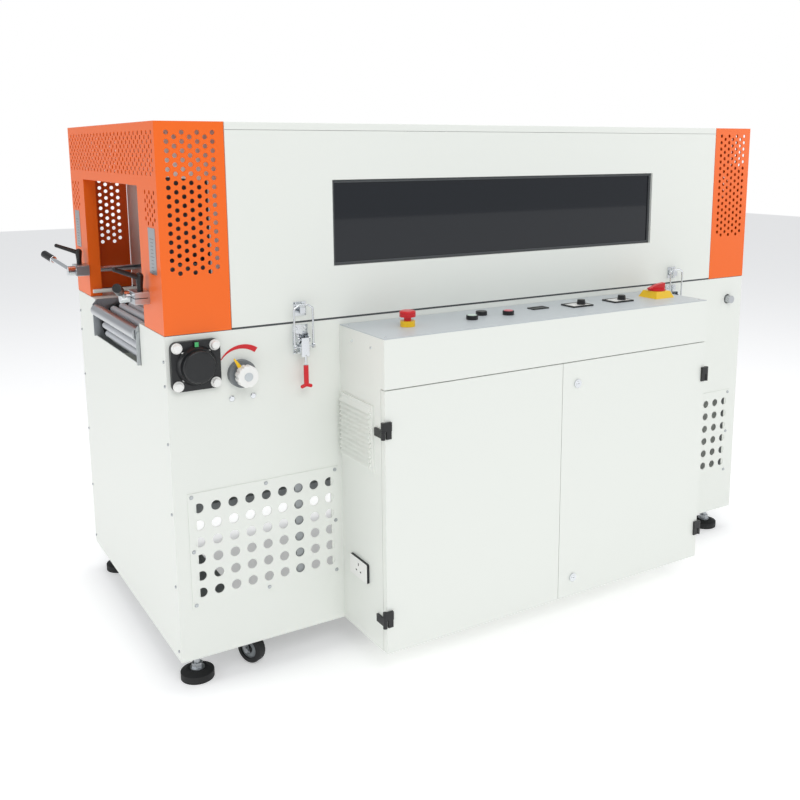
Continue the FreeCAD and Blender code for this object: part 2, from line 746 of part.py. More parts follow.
def guard_header(side):
    """End plate over the doorway, perforated over its whole width."""
    x = guard_end_x(side)
    y0 = YF + GUARD_SHEET
    width = 2 * (YR - GUARD_SHEET)
    z0 = Z_SEAM + DOORWAY_HEIGHT
    z1 = Z_TOP - GUARD_SHEET
    outline = rectangle(V(x, y0, z0), AY, AZ, width, z1 - z0)
    step = HOLE_PITCH * math.sin(math.pi / 3)
    columns = int((width - 24) / step) + 1
    start = V(x, -(columns - 1) * step / 2, Z_TOP - 24)
    rows = int((z1 - z0 - 34) / HOLE_PITCH)
    places = staggered(start, AY, -AZ, columns, rows, lambda a, b: True)
    holes = [ring_wire(place, AX, SIDE_HOLE / 2) for place in places]
    plate = pierced(outline, holes, AX * GUARD_SHEET)
    inward = V(x + GUARD_SHEET, 0, 0) if side < 0 else V(x - JAMB_DEPTH, 0, 0)
    lip = box(inward.x, inward.x + JAMB_DEPTH, -DOORWAY_HALF, DOORWAY_HALF, z0, z0 + GUARD_SHEET)
    return plate.fuse(lip).removeSplitter()


def guard_jambs(side):
    """End plates beside the doorway with their inward returns."""
    x = guard_end_x(side)
    z0 = Z_SEAM + GAP
    z1 = Z_SEAM + DOORWAY_HEIGHT
    step = HOLE_PITCH * math.sin(math.pi / 3)
    jambs = []
    for sy in (-1, 1):
        outer = sy * (YR - GUARD_SHEET)
        inner = sy * DOORWAY_HALF
        y0, y1 = sorted((outer, inner))
        outline = rectangle(V(x, y0, z0), AY, AZ, y1 - y0, z1 - z0)
        start = V(x, outer - sy * 22, z1 - 12)
        places = staggered(start, AY * -sy, -AZ, 5, 4, lambda a, b: True)
        holes = [ring_wire(place, AX, SIDE_HOLE / 2) for place in places]
        shaft_y = sy * DAMPER_HALF
        holes.append(ring_wire(V(x, shaft_y, Z_DAMPER), AX, DAMPER_RADIUS + 0.6))
        plate = pierced(outline, holes, AX * GUARD_SHEET)
        xa = x + GUARD_SHEET if side < 0 else x - JAMB_DEPTH
        ya, yb = sorted((inner, inner + sy * GUARD_SHEET))
        lip = box(xa, xa + JAMB_DEPTH, ya, yb, z0, z1)
        if side > 0:
            lip = lip.cut(disc(V(xa, shaft_y, Z_DAMPER), AX, 15.5, 4 * JAMB_DEPTH))
        jambs.append(plate.fuse(lip).removeSplitter())
    return jambs


# ---------------------------------------------------------------- damper adjusters
def clamp_blocks():
    """Split clamp blocks on the infeed guard that hold the damper shafts."""
    blocks = []
    for sy in (-1, 1):
        ya, yb = sorted((sy * (DAMPER_HALF - 16), sy * (DAMPER_HALF + 46)))
        block = box(X0 - BLOCK_LENGTH, X0, ya, yb, Z_DAMPER - 15, Z_DAMPER + 15)
        block = rounded(block, 3, lambda e: abs(e.BoundBox.XLength - BLOCK_LENGTH) < 1e-3)
        shaft_y = sy * DAMPER_HALF
        bore = disc(V(X0 - BLOCK_LENGTH / 2, shaft_y, Z_DAMPER), AX, DAMPER_RADIUS + BORE_CLEARANCE,
                    BLOCK_LENGTH + 2)
        ya, yb = sorted((sy * (DAMPER_HALF + DAMPER_RADIUS - 2), sy * (DAMPER_HALF + 60)))
        split = box(X0 - BLOCK_LENGTH - 1, X0 - 4, ya, yb, Z_DAMPER - 1, Z_DAMPER + 1)
        stud = V(X0 - BLOCK_LENGTH / 2, sy * (DAMPER_HALF + 30), Z_DAMPER)
        blocks.append(block.cut(bore).cut(split).cut(disc(stud, AZ, 4.05, 60)))
    return blocks


def damper_bushes():
    """Bushes on the exit guard's end plate that carry the far ends of the shafts."""
    bushes = []
    for sy in (-1, 1):
        centre = V(X1 - GUARD_SHEET - 10, sy * DAMPER_HALF, Z_DAMPER)
        bushes.append(tube(centre, AX, 15, DAMPER_RADIUS + BORE_CLEARANCE, 20))
    return bushes


def damper_shaft(sy):
    """Long shaft with an air blade along the chamber."""
    y = sy * DAMPER_HALF
    shaft = rod(V(X0 - BLOCK_LENGTH - 22, y, Z_DAMPER), V(X1 - 3, y, Z_DAMPER), DAMPER_RADIUS)
    reach = HOOD_X - 40
    blade = box(-reach, reach, y - 1.5, y + 1.5, Z_DAMPER - BLADE_DEPTH, Z_DAMPER - DAMPER_RADIUS + 1)
    return shaft.fuse(blade).removeSplitter()


def crank_direction(sy):
    """Unit vector along a crank arm."""
    return V(-0.33, 0.90 * sy, 0.28).normalize()


def damper_crank(sy):
    """Hub with a set screw and the bent arm of a damper handle."""
    x = X0 - BLOCK_LENGTH - 1
    y = sy * DAMPER_HALF
    hub = tube(V(x - 11, y, Z_DAMPER), AX, 14, DAMPER_RADIUS, 20)
    start = V(x - 11, y, Z_DAMPER) + crank_direction(sy) * 12
    arm = rod(start, start + crank_direction(sy) * 78, 6)
    return hub.fuse(arm).removeSplitter()


def damper_grip(sy):
    """Plastic grip on the end of a damper handle."""
    x = X0 - BLOCK_LENGTH - 12
    start = V(x, sy * DAMPER_HALF, Z_DAMPER) + crank_direction(sy) * 90
    end = start + crank_direction(sy) * 52
    grip = rod(start, end, 10.5)
    rims = [edge for edge in grip.Edges if len(edge.Vertexes) == 1]
    return grip.makeFillet(3, rims)


def clamp_lever(sy):
    """Indexable clamp lever: stud, hub and a raised tapered arm pointing outward."""
    base = V(X0 - BLOCK_LENGTH / 2, sy * (DAMPER_HALF + 30), Z_DAMPER + 15)
    stud = rod(base - AZ * 28, base + AZ * 12, 4)
    collar = Part.makeCylinder(7, 12, base + AZ * 0.3)
    hub = Part.makeCone(7, 9.5, 22, base + AZ * 12.3)
    dome = Part.makeSphere(9.5, base + AZ * 34.3)
    way = V(-0.90, 0.12 * sy, 0.36).normalize()
    root = base + AZ * 32
    arm = Part.makeCone(6.5, 5, 62, root, way)
    tip = Part.makeSphere(5.4, root + way * 62)
    return stud.fuse([collar, hub, dome, arm, tip]).removeSplitter()


def angle_scales():
    """Plain steel scales screwed to the jambs above the clamp blocks."""
    scales = []
    for sy in (-1, 1):
        ya, yb = sorted((sy * 347.0, sy * 401.0))
        z = Z_SEAM + 136
        scales.append(box(X0 - 1, X0, ya, yb, z, z + 104))
    return scales


# ---------------------------------------------------------------- hood
def hood_front():
    """Front panel with the window opening."""
    z0 = Z_SEAM + SEAL_HEIGHT
    z1 = Z_TOP - COVER_DEPTH
    reach = HOOD_X - GAP
    outline = rectangle(V(-reach, YF, z0), AX, AZ, 2 * reach, z1 - z0)
    sill = V(-WINDOW_LENGTH / 2, YF, Z_SEAM + WINDOW_SILL)
    hole = rectangle(sill, AX, AZ, WINDOW_LENGTH, WINDOW_HEIGHT)
    return pierced(outline, [hole], AY * SHEET)


def hood_rear():
    """Rear panel."""
    reach = HOOD_X - GAP
    return box(-reach, reach, YR - SHEET, YR, Z_SEAM + SEAL_HEIGHT, Z_TOP - COVER_DEPTH)


def hood_cover():
    """Top cover with downturned edges front and rear."""
    reach = HOOD_X - GAP
    outer = box(-reach, reach, YF, YR, Z_TOP - COVER_DEPTH + 0.8, Z_TOP)
    inner = box(-reach - 1, reach + 1, YF + SHEET, YR - SHEET, Z_TOP - COVER_DEPTH, Z_TOP - SHEET)
    cover = outer.cut(inner)
    long_top = lambda e: abs(e.BoundBox.XLength - 2 * reach) < 1e-3 and e.BoundBox.ZMin > Z_TOP - 0.01
    return cover.makeFillet(2, [e for e in cover.Edges if long_top(e)
                                and abs(abs(e.CenterOfMass.y) - YR) < 0.01])


def hood_ends():
    """End walls of the hood beside and over the tunnel mouths."""
    plates = []
    z0 = Z_SEAM + SEAL_HEIGHT
    z1 = Z_TOP - SHEET
    mouth_top = Z_SEAM + MOUTH_HEIGHT
    y = YR - SHEET
    for side in (-1, 1):
        xa, xb = sorted((side * (HOOD_X - GAP), side * (HOOD_X - GAP - SHEET)))
        plates.append(box(xa, xb, -y, y, mouth_top, z1))
        for sy in (-1, 1):
            ya, yb = sorted((sy * MOUTH_HALF, sy * y))
            plates.append(box(xa, xb, ya, yb, z0, mouth_top))
    return plates


def chamber_liner():
    """Heated chamber: side liners and the perforated ceiling under the fan space."""
    reach = HOOD_X - GAP - SHEET
    z0 = Z_SEAM + SEAL_HEIGHT + 2
    ceiling = Z_SEAM + MOUTH_HEIGHT + 10
    rear = box(-reach, reach, LINER_HALF, LINER_HALF + LINER_SHEET, z0, ceiling)
    y = -LINER_HALF - LINER_SHEET
    outline = rectangle(V(-reach, y, z0), AX, AZ, 2 * reach, ceiling - z0)
    sill = V(-WINDOW_LENGTH / 2, y, Z_SEAM + WINDOW_SILL)
    hole = rectangle(sill, AX, AZ, WINDOW_LENGTH, WINDOW_HEIGHT)
    front = pierced(outline, [hole], AY * LINER_SHEET)
    corner = V(-reach, -YR + SHEET, ceiling)
    width = 2 * (YR - SHEET)
    top_line = rectangle(corner, AX, AY, 2 * reach, width)
    holes = [ring_wire(V(0, 0, ceiling), AZ, 95)]
    for i in range(-4, 5):
        if i:
            for k in (-1, 0, 1):
                holes.append(ring_wire(V(i * 150, k * 180, ceiling), AZ, 26))
    top = pierced(top_line, holes, AZ * LINER_SHEET)
    return rear, front, top


def window_ring(y0, depth, thick, inset):
    """Four plates round the window opening, lining it or standing inside it."""
    x = WINDOW_LENGTH / 2 - inset
    z0 = Z_SEAM + WINDOW_SILL + inset
    z1 = Z_SEAM + WINDOW_SILL + WINDOW_HEIGHT - inset
    y1 = y0 + depth
    return [box(-x - thick, x + thick, y0, y1, z0 - thick, z0), box(-x - thick, x + thick, y0, y1, z1, z1 + thick),
            box(-x - thick, -x, y0, y1, z0, z1), box(x, x + thick, y0, y1, z0, z1)]


def window_tunnel():
    """Reveal round the window, from the front panel to the liner."""
    return window_ring(YF + SHEET, YR - SHEET - LINER_HALF - LINER_SHEET, 2, 0)


def window_glass():
    """Tempered pane set back in the reveal."""
    y = YF + SHEET + 8
    z = Z_SEAM + WINDOW_SILL
    x = WINDOW_LENGTH / 2
    return box(-x, x, y, y + GLASS_THICK, z, z + WINDOW_HEIGHT)


def glass_stops():
    """Beads that hold the pane from inside the reveal."""
    return window_ring(YF + SHEET + 8 + GLASS_THICK, 4, 10, 10)


def hood_seal():
    """Grey sealing strips along the lower edge of the hood."""
    reach = HOOD_X - GAP
    z0 = Z_SEAM + SLIT
    z1 = Z_SEAM + SEAL_HEIGHT
    strips = [box(-reach, reach, YF + 0.8, YF + 16, z0, z1), box(-reach, reach, YR - 16, YR - 0.8, z0, z1)]
    for side in (-1, 1):
        xa, xb = sorted((side * reach, side * (reach - 16)))
        for sy in (-1, 1):
            ya, yb = sorted((sy * MOUTH_HALF, sy * (YR - 16)))
            strips.append(box(xa, xb, ya, yb, z0, z1))
    return strips


def hinge_places():
    """X centres of the three hood hinges."""
    return (-HOOD_X * 0.72, 0.0, HOOD_X * 0.72)


def hinge_axis():
    """Height and depth of the hood's hinge axis."""
    return V(0, YR + HINGE_OFFSET, Z_SEAM + 2)


def hood_hinge_halves():
    """Fixed leaves with the pins, and the moving leaves with their knuckles."""
    fixed = []
    moving = []
    axis = hinge_axis()
    for x in hinge_places():
        pin = disc(V(x, axis.y, axis.z), AX, 4, 118)
        leaf = box(x - 50, x + 50, YR, YR + 3, axis.z - 42, axis.z - 10)
        arms = []
        for offset in (-36, 36):
            knuckle = disc(V(x + offset, axis.y, axis.z), AX, 8, 26)
            web = box(x + offset - 13, x + offset + 13, YR, YR + 6, axis.z - 20, axis.z - 3)
            arms.extend([knuckle, web])
        fixed.append(leaf.fuse(arms + [pin]).removeSplitter())
        knuckle = disc(V(x, axis.y, axis.z), AX, 8, 44)
        plate = box(x - 22, x + 22, YR, YR + 6, axis.z + 2, axis.z + 40)
        wide = box(x - 50, x + 50, YR, YR + 3, axis.z + 12, axis.z + 44)
        half = knuckle.fuse([plate, wide]).cut(disc(V(x, axis.y, axis.z), AX, 4 + BORE_CLEARANCE, 60))
        moving.append(half.removeSplitter())
    return fixed, moving


def fan_level():
    """Height of the ceiling's upper face."""
    return Z_SEAM + MOUTH_HEIGHT + 10 + LINER_SHEET


def fan_motor():
    """Flat motor hung under the top cover."""
    top = Z_TOP - SHEET
    body = Part.makeCylinder(60, 34, V(0, 0, top - 34))
    shaft = Part.makeCylinder(8, 60, V(0, 0, top - 80))
    return body.fuse(shaft).removeSplitter()


def fan_wheel():
    """Circulation impeller with backward-curved blades."""
    z0 = fan_level() + 6
    z1 = Z_TOP - SHEET - 40
    disc_top = Part.makeCylinder(110, 3, V(0, 0, z1 - 3))
    ring = Part.makeCylinder(110, 2, V(0, 0, z0)).cut(Part.makeCylinder(80, 6, V(0, 0, z0 - 2)))
    blades = []
    for i in range(12):
        blade = box(82, 110, -1, 1, z0, z1)
        blade.rotate(V(95, 0, 0), AZ, 35)
        blade.rotate(V(0, 0, 0), AZ, 30 * i)
        blades.append(blade)
    hub = Part.makeCylinder(16, z1 - z0 - 10, V(0, 0, z0 + 10))
    wheel = disc_top.fuse(blades + [ring, hub]).removeSplitter()
    wheel = wheel.common(Part.makeCylinder(112, 200, V(0, 0, z0 - 5)))
    return wheel.cut(Part.makeCylinder(8 + BORE_CLEARANCE, 120, V(0, 0, z0 - 10)))


def heater_tubes():
    """Finned heating rods in the fan space, both sides of the impeller."""
    heaters = []
    z = fan_level() + 34
    for side in (-1, 1):
        for y in (-240, -120, 0, 120, 240):
            start = V(side * 190, y, z)
            end = V(side * (HOOD_X - GAP - SHEET), y, z)
            heaters.append(rod(start, end, 8))
    return heaters


def heater_racks():
    """Stands that carry the inner ends of the heating rods on the ceiling plate."""
    racks = []
    z = fan_level()
    for side in (-1, 1):
        xa, xb = sorted((side * 196, side * 202))
        rack = box(xa, xb, -270, 270, z, z + 46)
        holes = [disc(V(side * 199, y, z + 34), AX, 8.3, 20) for y in (-240, -120, 0, 120, 240)]
        racks.append(rack.cut(Part.Compound(holes)))
    return racks


# ---------------------------------------------------------------- toggle latches
def latch_axis(side):
    """Lever axis of a toggle latch."""
    return V(side * LATCH_X, YF - LATCH_PIVOT_OUT, Z_SEAM - LATCH_PIVOT_DROP)


def latch_base(side):
    """Base plate with two ears and the lever pin, riveted to the front skin."""
    axis = latch_axis(side)
    x = axis.x
    plate = box(x - 20, x + 20, YF - 3, YF, axis.z - 36, axis.z + 34)
    ears = []
    for offset in (-14, 14):
        ear = box(x + offset - 1.5, x + offset + 1.5, axis.y, YF, axis.z - 10, axis.z + 14)
        nose = disc(V(x + offset, axis.y, axis.z), AX, 7, 3)
        ears.extend([ear, nose])
    pin = disc(axis, AX, 3, 34)
    rivets = [screw_head(V(x + dx, YF - 3, axis.z + dz), -AY, 4, 2.2)
              for dx in (-12, 12) for dz in (-26, 26)]
    return plate.fuse(ears + [pin] + rivets).removeSplitter()


def loop_axis(side):
    """Axis where the loop hangs on the lever, below the lever's own axis."""
    return latch_axis(side) + V(0, -3, -16)


def latch_lever(side):
    """Channel-shaped lever with the loop's pin and the shank of the grip."""
    axis = latch_axis(side)
    x, y, z = axis.x, axis.y, axis.z
    parts = []
    for offset in (-9, 9):
        left = x + offset - 1
        points = [V(left, y + 5, z + 6), V(left, y - 9, z + 6), V(left, y - 11, z - 40),
                  V(left, y - 6, z - 40), V(left, y + 2, z - 22), V(left, y + 5, z - 6)]
        parts.append(Part.Face(Part.makePolygon(points + [points[0]])).extrude(AX * 2))
    web = box(x - 10, x + 10, y - 11, y - 9, z - 40, z + 6)
    parts.append(disc(loop_axis(side), AX, 2.5, 2 * LOOP_HALF + 8))
    parts.append(rod(V(x, y - 10, z - 36), V(x, y - 10, z - 60), 3))
    lever = web.fuse(parts)
    return lever.cut(disc(axis, AX, 3 + BORE_CLEARANCE, 40)).removeSplitter()


def latch_grip(side):
    """Moulded grip with a short cross bar at its end."""
    axis = latch_axis(side)
    top = V(axis.x, axis.y - 10, axis.z - 60)
    end = top - AZ * 52
    grip = rod(top, end, 6)
    bar = []
    for way in (V(1, 0, -0.35), V(-1, 0, -0.35)):
        bar.append(rod(end + AZ * 3, end + AZ * 3 + way * 11, 4.5))
        bar.append(Part.makeSphere(4.5, end + AZ * 3 + way * 11))
    return grip.fuse(bar).removeSplitter()


def latch_loop(side):
    """Wire loop that reaches from the lever to the front of the hood catch."""
    hook = loop_axis(side)
    x = hook.x
    top = Z_SEAM + 46
    parts = []
    for offset in (-LOOP_HALF, LOOP_HALF):
        parts.append(tube(V(x + offset, hook.y, hook.z), AX, 6, 2.5 + BORE_CLEARANCE, 5))
        shoulder = V(x + offset, hook.y, top - 8)
        corner = V(x + offset * 0.55, hook.y, top)
        parts.extend([rod(V(x + offset, hook.y, hook.z + 5), shoulder, 2.5), rod(shoulder, corner, 2.5)])
        parts.extend([Part.makeSphere(2.5, shoulder), Part.makeSphere(2.5, corner)])
    bar = rod(V(x - LOOP_HALF * 0.55, hook.y, top), V(x + LOOP_HALF * 0.55, hook.y, top), 2.5)
    return bar.fuse(parts).removeSplitter()


def latch_catch(side):
    """Hooked catch plate on the hood; its lip stops short of the loop."""
    hook = loop_axis(side)
    x = hook.x
    base = Z_SEAM + 18
    plate = box(x - 16, x + 16, YF - 2.5, YF, base, base + 34)
    lip = box(x - 7, x + 7, hook.y + 3.2, YF, base + 8, base + 12)
    turn_up = box(x - 7, x + 7, hook.y + 3.2, hook.y + 5.7, base + 8, base + 22)
    rivets = [screw_head(V(x + dx, YF - 2.5, base + 28), -AY, 3.5, 2) for dx in (-9, 9)]
    return plate.fuse([lip, turn_up] + rivets).removeSplitter()


# ---------------------------------------------------------------- front face fittings
def flange_bearing():
    """Square flange bearing of the infeed shaft with four capped bolts."""
    x = -SHAFT_X
    plate = box(x - 57.5, x + 57.5, YF - 13, YF, Z_SHAFT - 57.5, Z_SHAFT + 57.5)
    plate = rounded(plate, 16, lambda e: abs(e.BoundBox.YLength - 13) < 1e-3)
    boss = Part.makeCone(47, 41, 12, V(x, YF - 13, Z_SHAFT), -AY)
    nipple = box(x - 5, x + 5, YF - 20, YF - 13, Z_SHAFT + 44, Z_SHAFT + 56)
    housing = plate.fuse([boss, nipple])
    return housing.cut(disc(V(x, YF, Z_SHAFT), AY, SHAFT_RADIUS + BORE_CLEARANCE, 80)).removeSplitter()


def bearing_cap():
    """Round closed cap over the shaft end."""
    cap = Part.makeCylinder(38, 15, V(-SHAFT_X, YF - 25, Z_SHAFT), -AY)
    rim = [e for e in cap.Edges if len(e.Vertexes) == 1 and e.CenterOfMass.y < YF - 39]
    cap = cap.makeFillet(5, rim)
    return cap.cut(disc(V(-SHAFT_X, YF - 25, Z_SHAFT), AY, SHAFT_RADIUS + 3, 20))


def bearing_bolts():
    """Capped bolts at the corners of the flange bearing."""
    bolts = []
    for dx in (-44, 44):
        for dz in (-44, 44):
            at = V(-SHAFT_X + dx, YF - 13, Z_SHAFT + dz)
            washer = Part.makeCylinder(12.5, 3, at, -AY)
            cap = Part.makeCylinder(9.5, 9, at - AY * 3, -AY)
            rim = [e for e in cap.Edges if len(e.Vertexes) == 1 and e.CenterOfMass.y < at.y - 11]
            bolts.append(washer.fuse(cap.makeFillet(3, rim)))
    return bolts


def speed_flange():
    """Round spacer flange of the speed control on the front skin, with two screws below."""
    flange = Part.makeCylinder(33, 16, V(KNOB_X, YF, KNOB_Z), -AY)
    flange = flange.fuse(Part.makeCylinder(24, 10, V(KNOB_X, YF - 16, KNOB_Z), -AY))
    flange = flange.cut(disc(V(KNOB_X, YF, KNOB_Z), AY, KNOB_STEM + BORE_CLEARANCE, 80))
    screws = [screw_head(V(KNOB_X + dx, YF, KNOB_Z - 59), -AY, 7, 3.5) for dx in (-24, 29)]
    return [flange.removeSplitter()] + screws


def speed_scale():
    """Tapered arc plate beside the knob, wide at the fast end."""
    inner = 58.0
    centre = V(KNOB_X, YF, KNOB_Z)
    low = math.radians(142)
    high = math.radians(52)
    mid = (low + high) / 2

    def at(radius, angle):
        return centre + AX * (radius * math.cos(angle)) + AZ * (radius * math.sin(angle))

    edges = [
        Part.Arc(at(inner, low), at(inner, mid), at(inner, high)).toShape(),
        Part.LineSegment(at(inner, high), at(inner + 13, high)).toShape(),
        Part.Arc(at(inner + 13, high), at(inner + 8, mid), at(inner + 2, low)).toShape(),
        Part.LineSegment(at(inner + 2, low), at(inner, low)).toShape(),
    ]
    return Part.Face(Part.Wire(edges)).extrude(-AY * 0.8)


def speed_knob():
    """Fluted round knob on the control stem, with its pointer blade."""
    y = YF - 28
    stem = rod(V(KNOB_X, YF + SHEET + FRAME_TUBE + BRACKET_THICK + 15, KNOB_Z), V(KNOB_X, y - 4, KNOB_Z),
               KNOB_STEM)
    collar = Part.makeCylinder(14, 8, V(KNOB_X, YF - 26.5, KNOB_Z), -AY)
    body = Part.makeCylinder(26, 20, V(KNOB_X, y - 4, KNOB_Z), -AY)
    rim = [e for e in body.Edges if len(e.Vertexes) == 1 and e.CenterOfMass.y < y - 20]
    body = body.makeFillet(4, rim)
    flutes = []
    for i in range(12):
        turn = math.radians(30 * i)
        at = V(KNOB_X + 28 * math.cos(turn), y, KNOB_Z + 28 * math.sin(turn))
        flutes.append(Part.makeCylinder(4, 40, at, -AY))
    body = body.cut(Part.Compound(flutes))
    return stem.fuse([collar, body]).removeSplitter()


def speed_pointer():
    """Thin pointer clamped behind the knob."""
    way = V(math.cos(math.radians(122)), 0, math.sin(math.radians(122)))
    across = V(-way.z, 0, way.x)
    y = YF - 30.5
    centre = V(KNOB_X, y, KNOB_Z)
    points = [centre + way * 15 + across * 6, centre + way * 50 + across * 1.5,
              centre + way * 50 - across * 1.5, centre + way * 15 - across * 6]
    blade = Part.Face(Part.makePolygon(points + [points[0]])).extrude(-AY * 1.5)
    ring = tube(centre - AY * 0.75, AY, 20, 14, 1.5)
    return blade.fuse(ring).removeSplitter()


# ---------------------------------------------------------------- control cabinet
def cabinet_plates():
    """Sides, bottom, shelf, back and centre post of the cabinet."""
    t = CABINET_SHEET
    y_door = CAB_Y + DOOR_THICK + SLIT + 0.6
    z0 = Z_SKIN
    plates = [
        box(CAB_X0, CAB_X0 + t, y_door, YF, z0, CONSOLE_Z),
        box(CAB_X1 - t, CAB_X1, y_door, YF, z0, CONSOLE_Z),
        box(CAB_X0 + t, CAB_X1 - t, y_door, YF, z0, z0 + t),
        box(CAB_X0 + t, CAB_X1 - t, YF - t, YF, z0 + t, CONSOLE_Z - t),
        box(CAB_X0 + t, CAB_X1 - t, y_door, YF, CONSOLE_Z - t, CONSOLE_Z),
    ]
    vent_end = vent_centre(1) - VENT_LENGTH / 2
    vent_foot = Z_SKIN + VENT_RISE
    notch = box(vent_end - 1, CAB_X1 + 1, YF - 2 - SLIT, YF + 1, vent_foot - 1, vent_foot + VENT_HEIGHT + 1)
    plates = [plate.cut(notch) for plate in plates]
    middle = (CAB_X0 + CAB_X1) / 2
    plates.append(box(middle - 22, middle + 22, y_door, y_door + t, z0 + t, CONSOLE_Z - t))
    return plates


def console_box():
    """Folded console on top of the cabinet, open at the top under its plate."""
    t = CABINET_SHEET
    z0 = CONSOLE_Z
    z1 = CAB_TOP - PLATE_THICK
    outer = box(CAB_X0, CAB_X1, CAB_Y, YF, z0, z1)
    inner = box(CAB_X0 + t, CAB_X1 - t, CAB_Y + t, YF - t, z0 + t, z1 + 1)
    shell = outer.cut(inner)
    flange = box(CAB_X0 + t, CAB_X1 - t, CAB_Y + t, CAB_Y + 14, z1 - t, z1)
    back = box(CAB_X0 + t, CAB_X1 - t, YF - 14, YF - t, z1 - t, z1)
    return shell.fuse([flange, back]).removeSplitter()


def console_holes():
    """X, distance behind the front edge, radius or half sizes of the plate cut-outs."""
    rounds = [(ESTOP_X, DEVICE_LINE, 11.2), (START_X, DEVICE_LINE - 8, 11.2),
              (LAMP_X, DEVICE_LINE + 32, 11.2), (STOP_X, DEVICE_LINE - 2, 11.2),
              (SWITCH_X, DEVICE_LINE + 8, 12.2)]
    rounds.extend((x + DIAL_OFFSET, DEVICE_LINE + 12, 8.2) for x in DIAL_X)
    return rounds


def console_plate():
    """Cover plate of the console with the device cut-outs."""
    z = CAB_TOP - PLATE_THICK
    outline = rectangle(V(CAB_X0 + 2, CAB_Y + 2, z), AX, AY, CABINET_LENGTH - 4, CABINET_DEPTH - 3)
    holes = [ring_wire(V(x, CAB_Y + back, z), AZ, radius) for x, back, radius in console_holes()]
    corner = V(METER_X - 23, CAB_Y + DEVICE_LINE + 20, z)
    holes.append(rectangle(corner, AX, AY, 46, 24))
    return pierced(outline, holes, AZ * PLATE_THICK)


def console_screws():
    """Screws along the plate's ends and the console's sides."""
    heads = []
    for x in (CAB_X0 + 14, CAB_X1 - 14):
        for back in (20, CABINET_DEPTH - 22):
            heads.append(screw_head(V(x, CAB_Y + back, CAB_TOP), AZ, 3.2, 1.6))
    for x, way in ((CAB_X0, -AX), (CAB_X1, AX)):
        for back in (64, 158):
            heads.append(screw_head(V(x, CAB_Y + back, CAB_TOP - 30), way, 3.2, 1.6))
    return heads


def door(side):
    """Folded cabinet door: a flat pan with returned edges."""
    middle = (CAB_X0 + CAB_X1) / 2
    if side < 0:
        x0, x1 = CAB_X0 + 0.5, middle - GAP / 2
    else:
        x0, x1 = middle + GAP / 2, CAB_X1 - 0.5
    z0 = Z_SKIN + 1
    z1 = CONSOLE_Z - 2.5
    outer = box(x0, x1, CAB_Y, CAB_Y + DOOR_THICK, z0, z1)
    t = CABINET_SHEET
    pan = box(x0 + t, x1 - t, CAB_Y + t, CAB_Y + DOOR_THICK + 1, z0 + t, z1 - t)
    shell = outer.cut(pan)
    if side > 0:
        for z in lock_levels():
            shell = shell.cut(disc(V(lock_x(), CAB_Y, z), AY, 9.2, 20))
    return shell


def lock_levels():
    """Heights of the two cam locks."""
    return (CONSOLE_Z - 61, Z_SKIN + 54)


def lock_x():
    """X of the cam locks on the right door."""
    return (CAB_X0 + CAB_X1) / 2 + 50


def lock_housing(z):
    """Round escutcheon and barrel of a cam lock."""
    at = V(lock_x(), CAB_Y, z)
    bezel = Part.makeCylinder(11.5, 3.5, at, -AY)
    barrel = Part.makeCylinder(9.2, 16, at, AY)
    body = bezel.fuse(barrel)
    return body.cut(disc(at, AY, 6 + BORE_CLEARANCE, 60)).removeSplitter()


def lock_core(z):
    """Turning core with its key slot and the cam, which hangs clear of the post."""
    at = V(lock_x(), CAB_Y, z)
    core = rod(at - AY * 4, at + AY * (DOOR_THICK + 6), 6)
    slot = box(at.x - 3.5, at.x + 3.5, at.y - 5, at.y - 2.5, z - 0.7, z + 0.7)
    rear = at.y + DOOR_THICK + 3.6
    cam = box(at.x - 7, at.x + 7, rear, rear + 2.6, z - 46, z + 7)
    return core.fuse(cam).cut(slot).removeSplitter()


def door_hinge_axis(side):
    """X of a door's hinge axis."""
    return CAB_X0 - DOOR_HINGE_OUT if side < 0 else CAB_X1 + DOOR_HINGE_OUT


def door_hinge_levels():
    """Centres of the two hinges on each door."""
    return (CONSOLE_Z - 96, Z_SKIN + 92)


def door_hinges(side):
    """Fixed and moving halves of a door's external hinges."""
    fixed = []
    moving = []
    x = door_hinge_axis(side)
    wall = CAB_X0 if side < 0 else CAB_X1
    y = CAB_Y - 1.5
    sign = -1 if side < 0 else 1
    for z in door_hinge_levels():
        pin = rod(V(x, y, z - 20), V(x, y, z + 20), 2.5)
        lower = Part.makeCylinder(5.5, 19.6, V(x, y, z - 21))
        xa, xb = sorted((wall, wall + sign * 5))
        arm = box(xa, xb, y, CAB_Y + DOOR_THICK + 26, z - 21, z - 1.4)
        fixed.append(pin.fuse([lower, arm]).removeSplitter())
        upper = Part.makeCylinder(5.5, 21, V(x, y, z - 0.8))
        xa, xb = sorted((x, wall - sign * 15))
        leaf = box(xa, xb, CAB_Y - 7, CAB_Y, z - 0.8, z + 20.2)
        low_leaf_x = sorted((wall - sign * 1.5, wall - sign * 15))
        low_leaf = box(low_leaf_x[0], low_leaf_x[1], CAB_Y - 5, CAB_Y, z - 21, z - 0.8)
        half = upper.fuse([leaf, low_leaf]).cut(rod(V(x, y, z - 30), V(x, y, z + 20.2), 2.5 + BORE_CLEARANCE))
        moving.append(half.removeSplitter())
    return fixed, moving


def cabinet_louvre():
    """Ventilation louvre on the cabinet's left side."""
    x = CAB_X0
    yc = CAB_Y + 135
    zc = Z_SKIN + 529
    half = 82
    frame = box(x - 5, x, yc - half, yc + half, zc - half, zc + half)
    slats = []
    count = 12
    pitch = (2 * half - 18) / count
    for i in range(count):
        z = zc + half - 8 - i * pitch
        points = [V(x - 5, yc - half + 6, z), V(x - 13, yc - half + 6, z - pitch + 2),
                  V(x - 5, yc - half + 6, z - pitch + 2)]
        slats.append(Part.Face(Part.makePolygon(points + [points[0]])).extrude(AY * (2 * half - 12)))
    return frame.fuse(slats).removeSplitter()


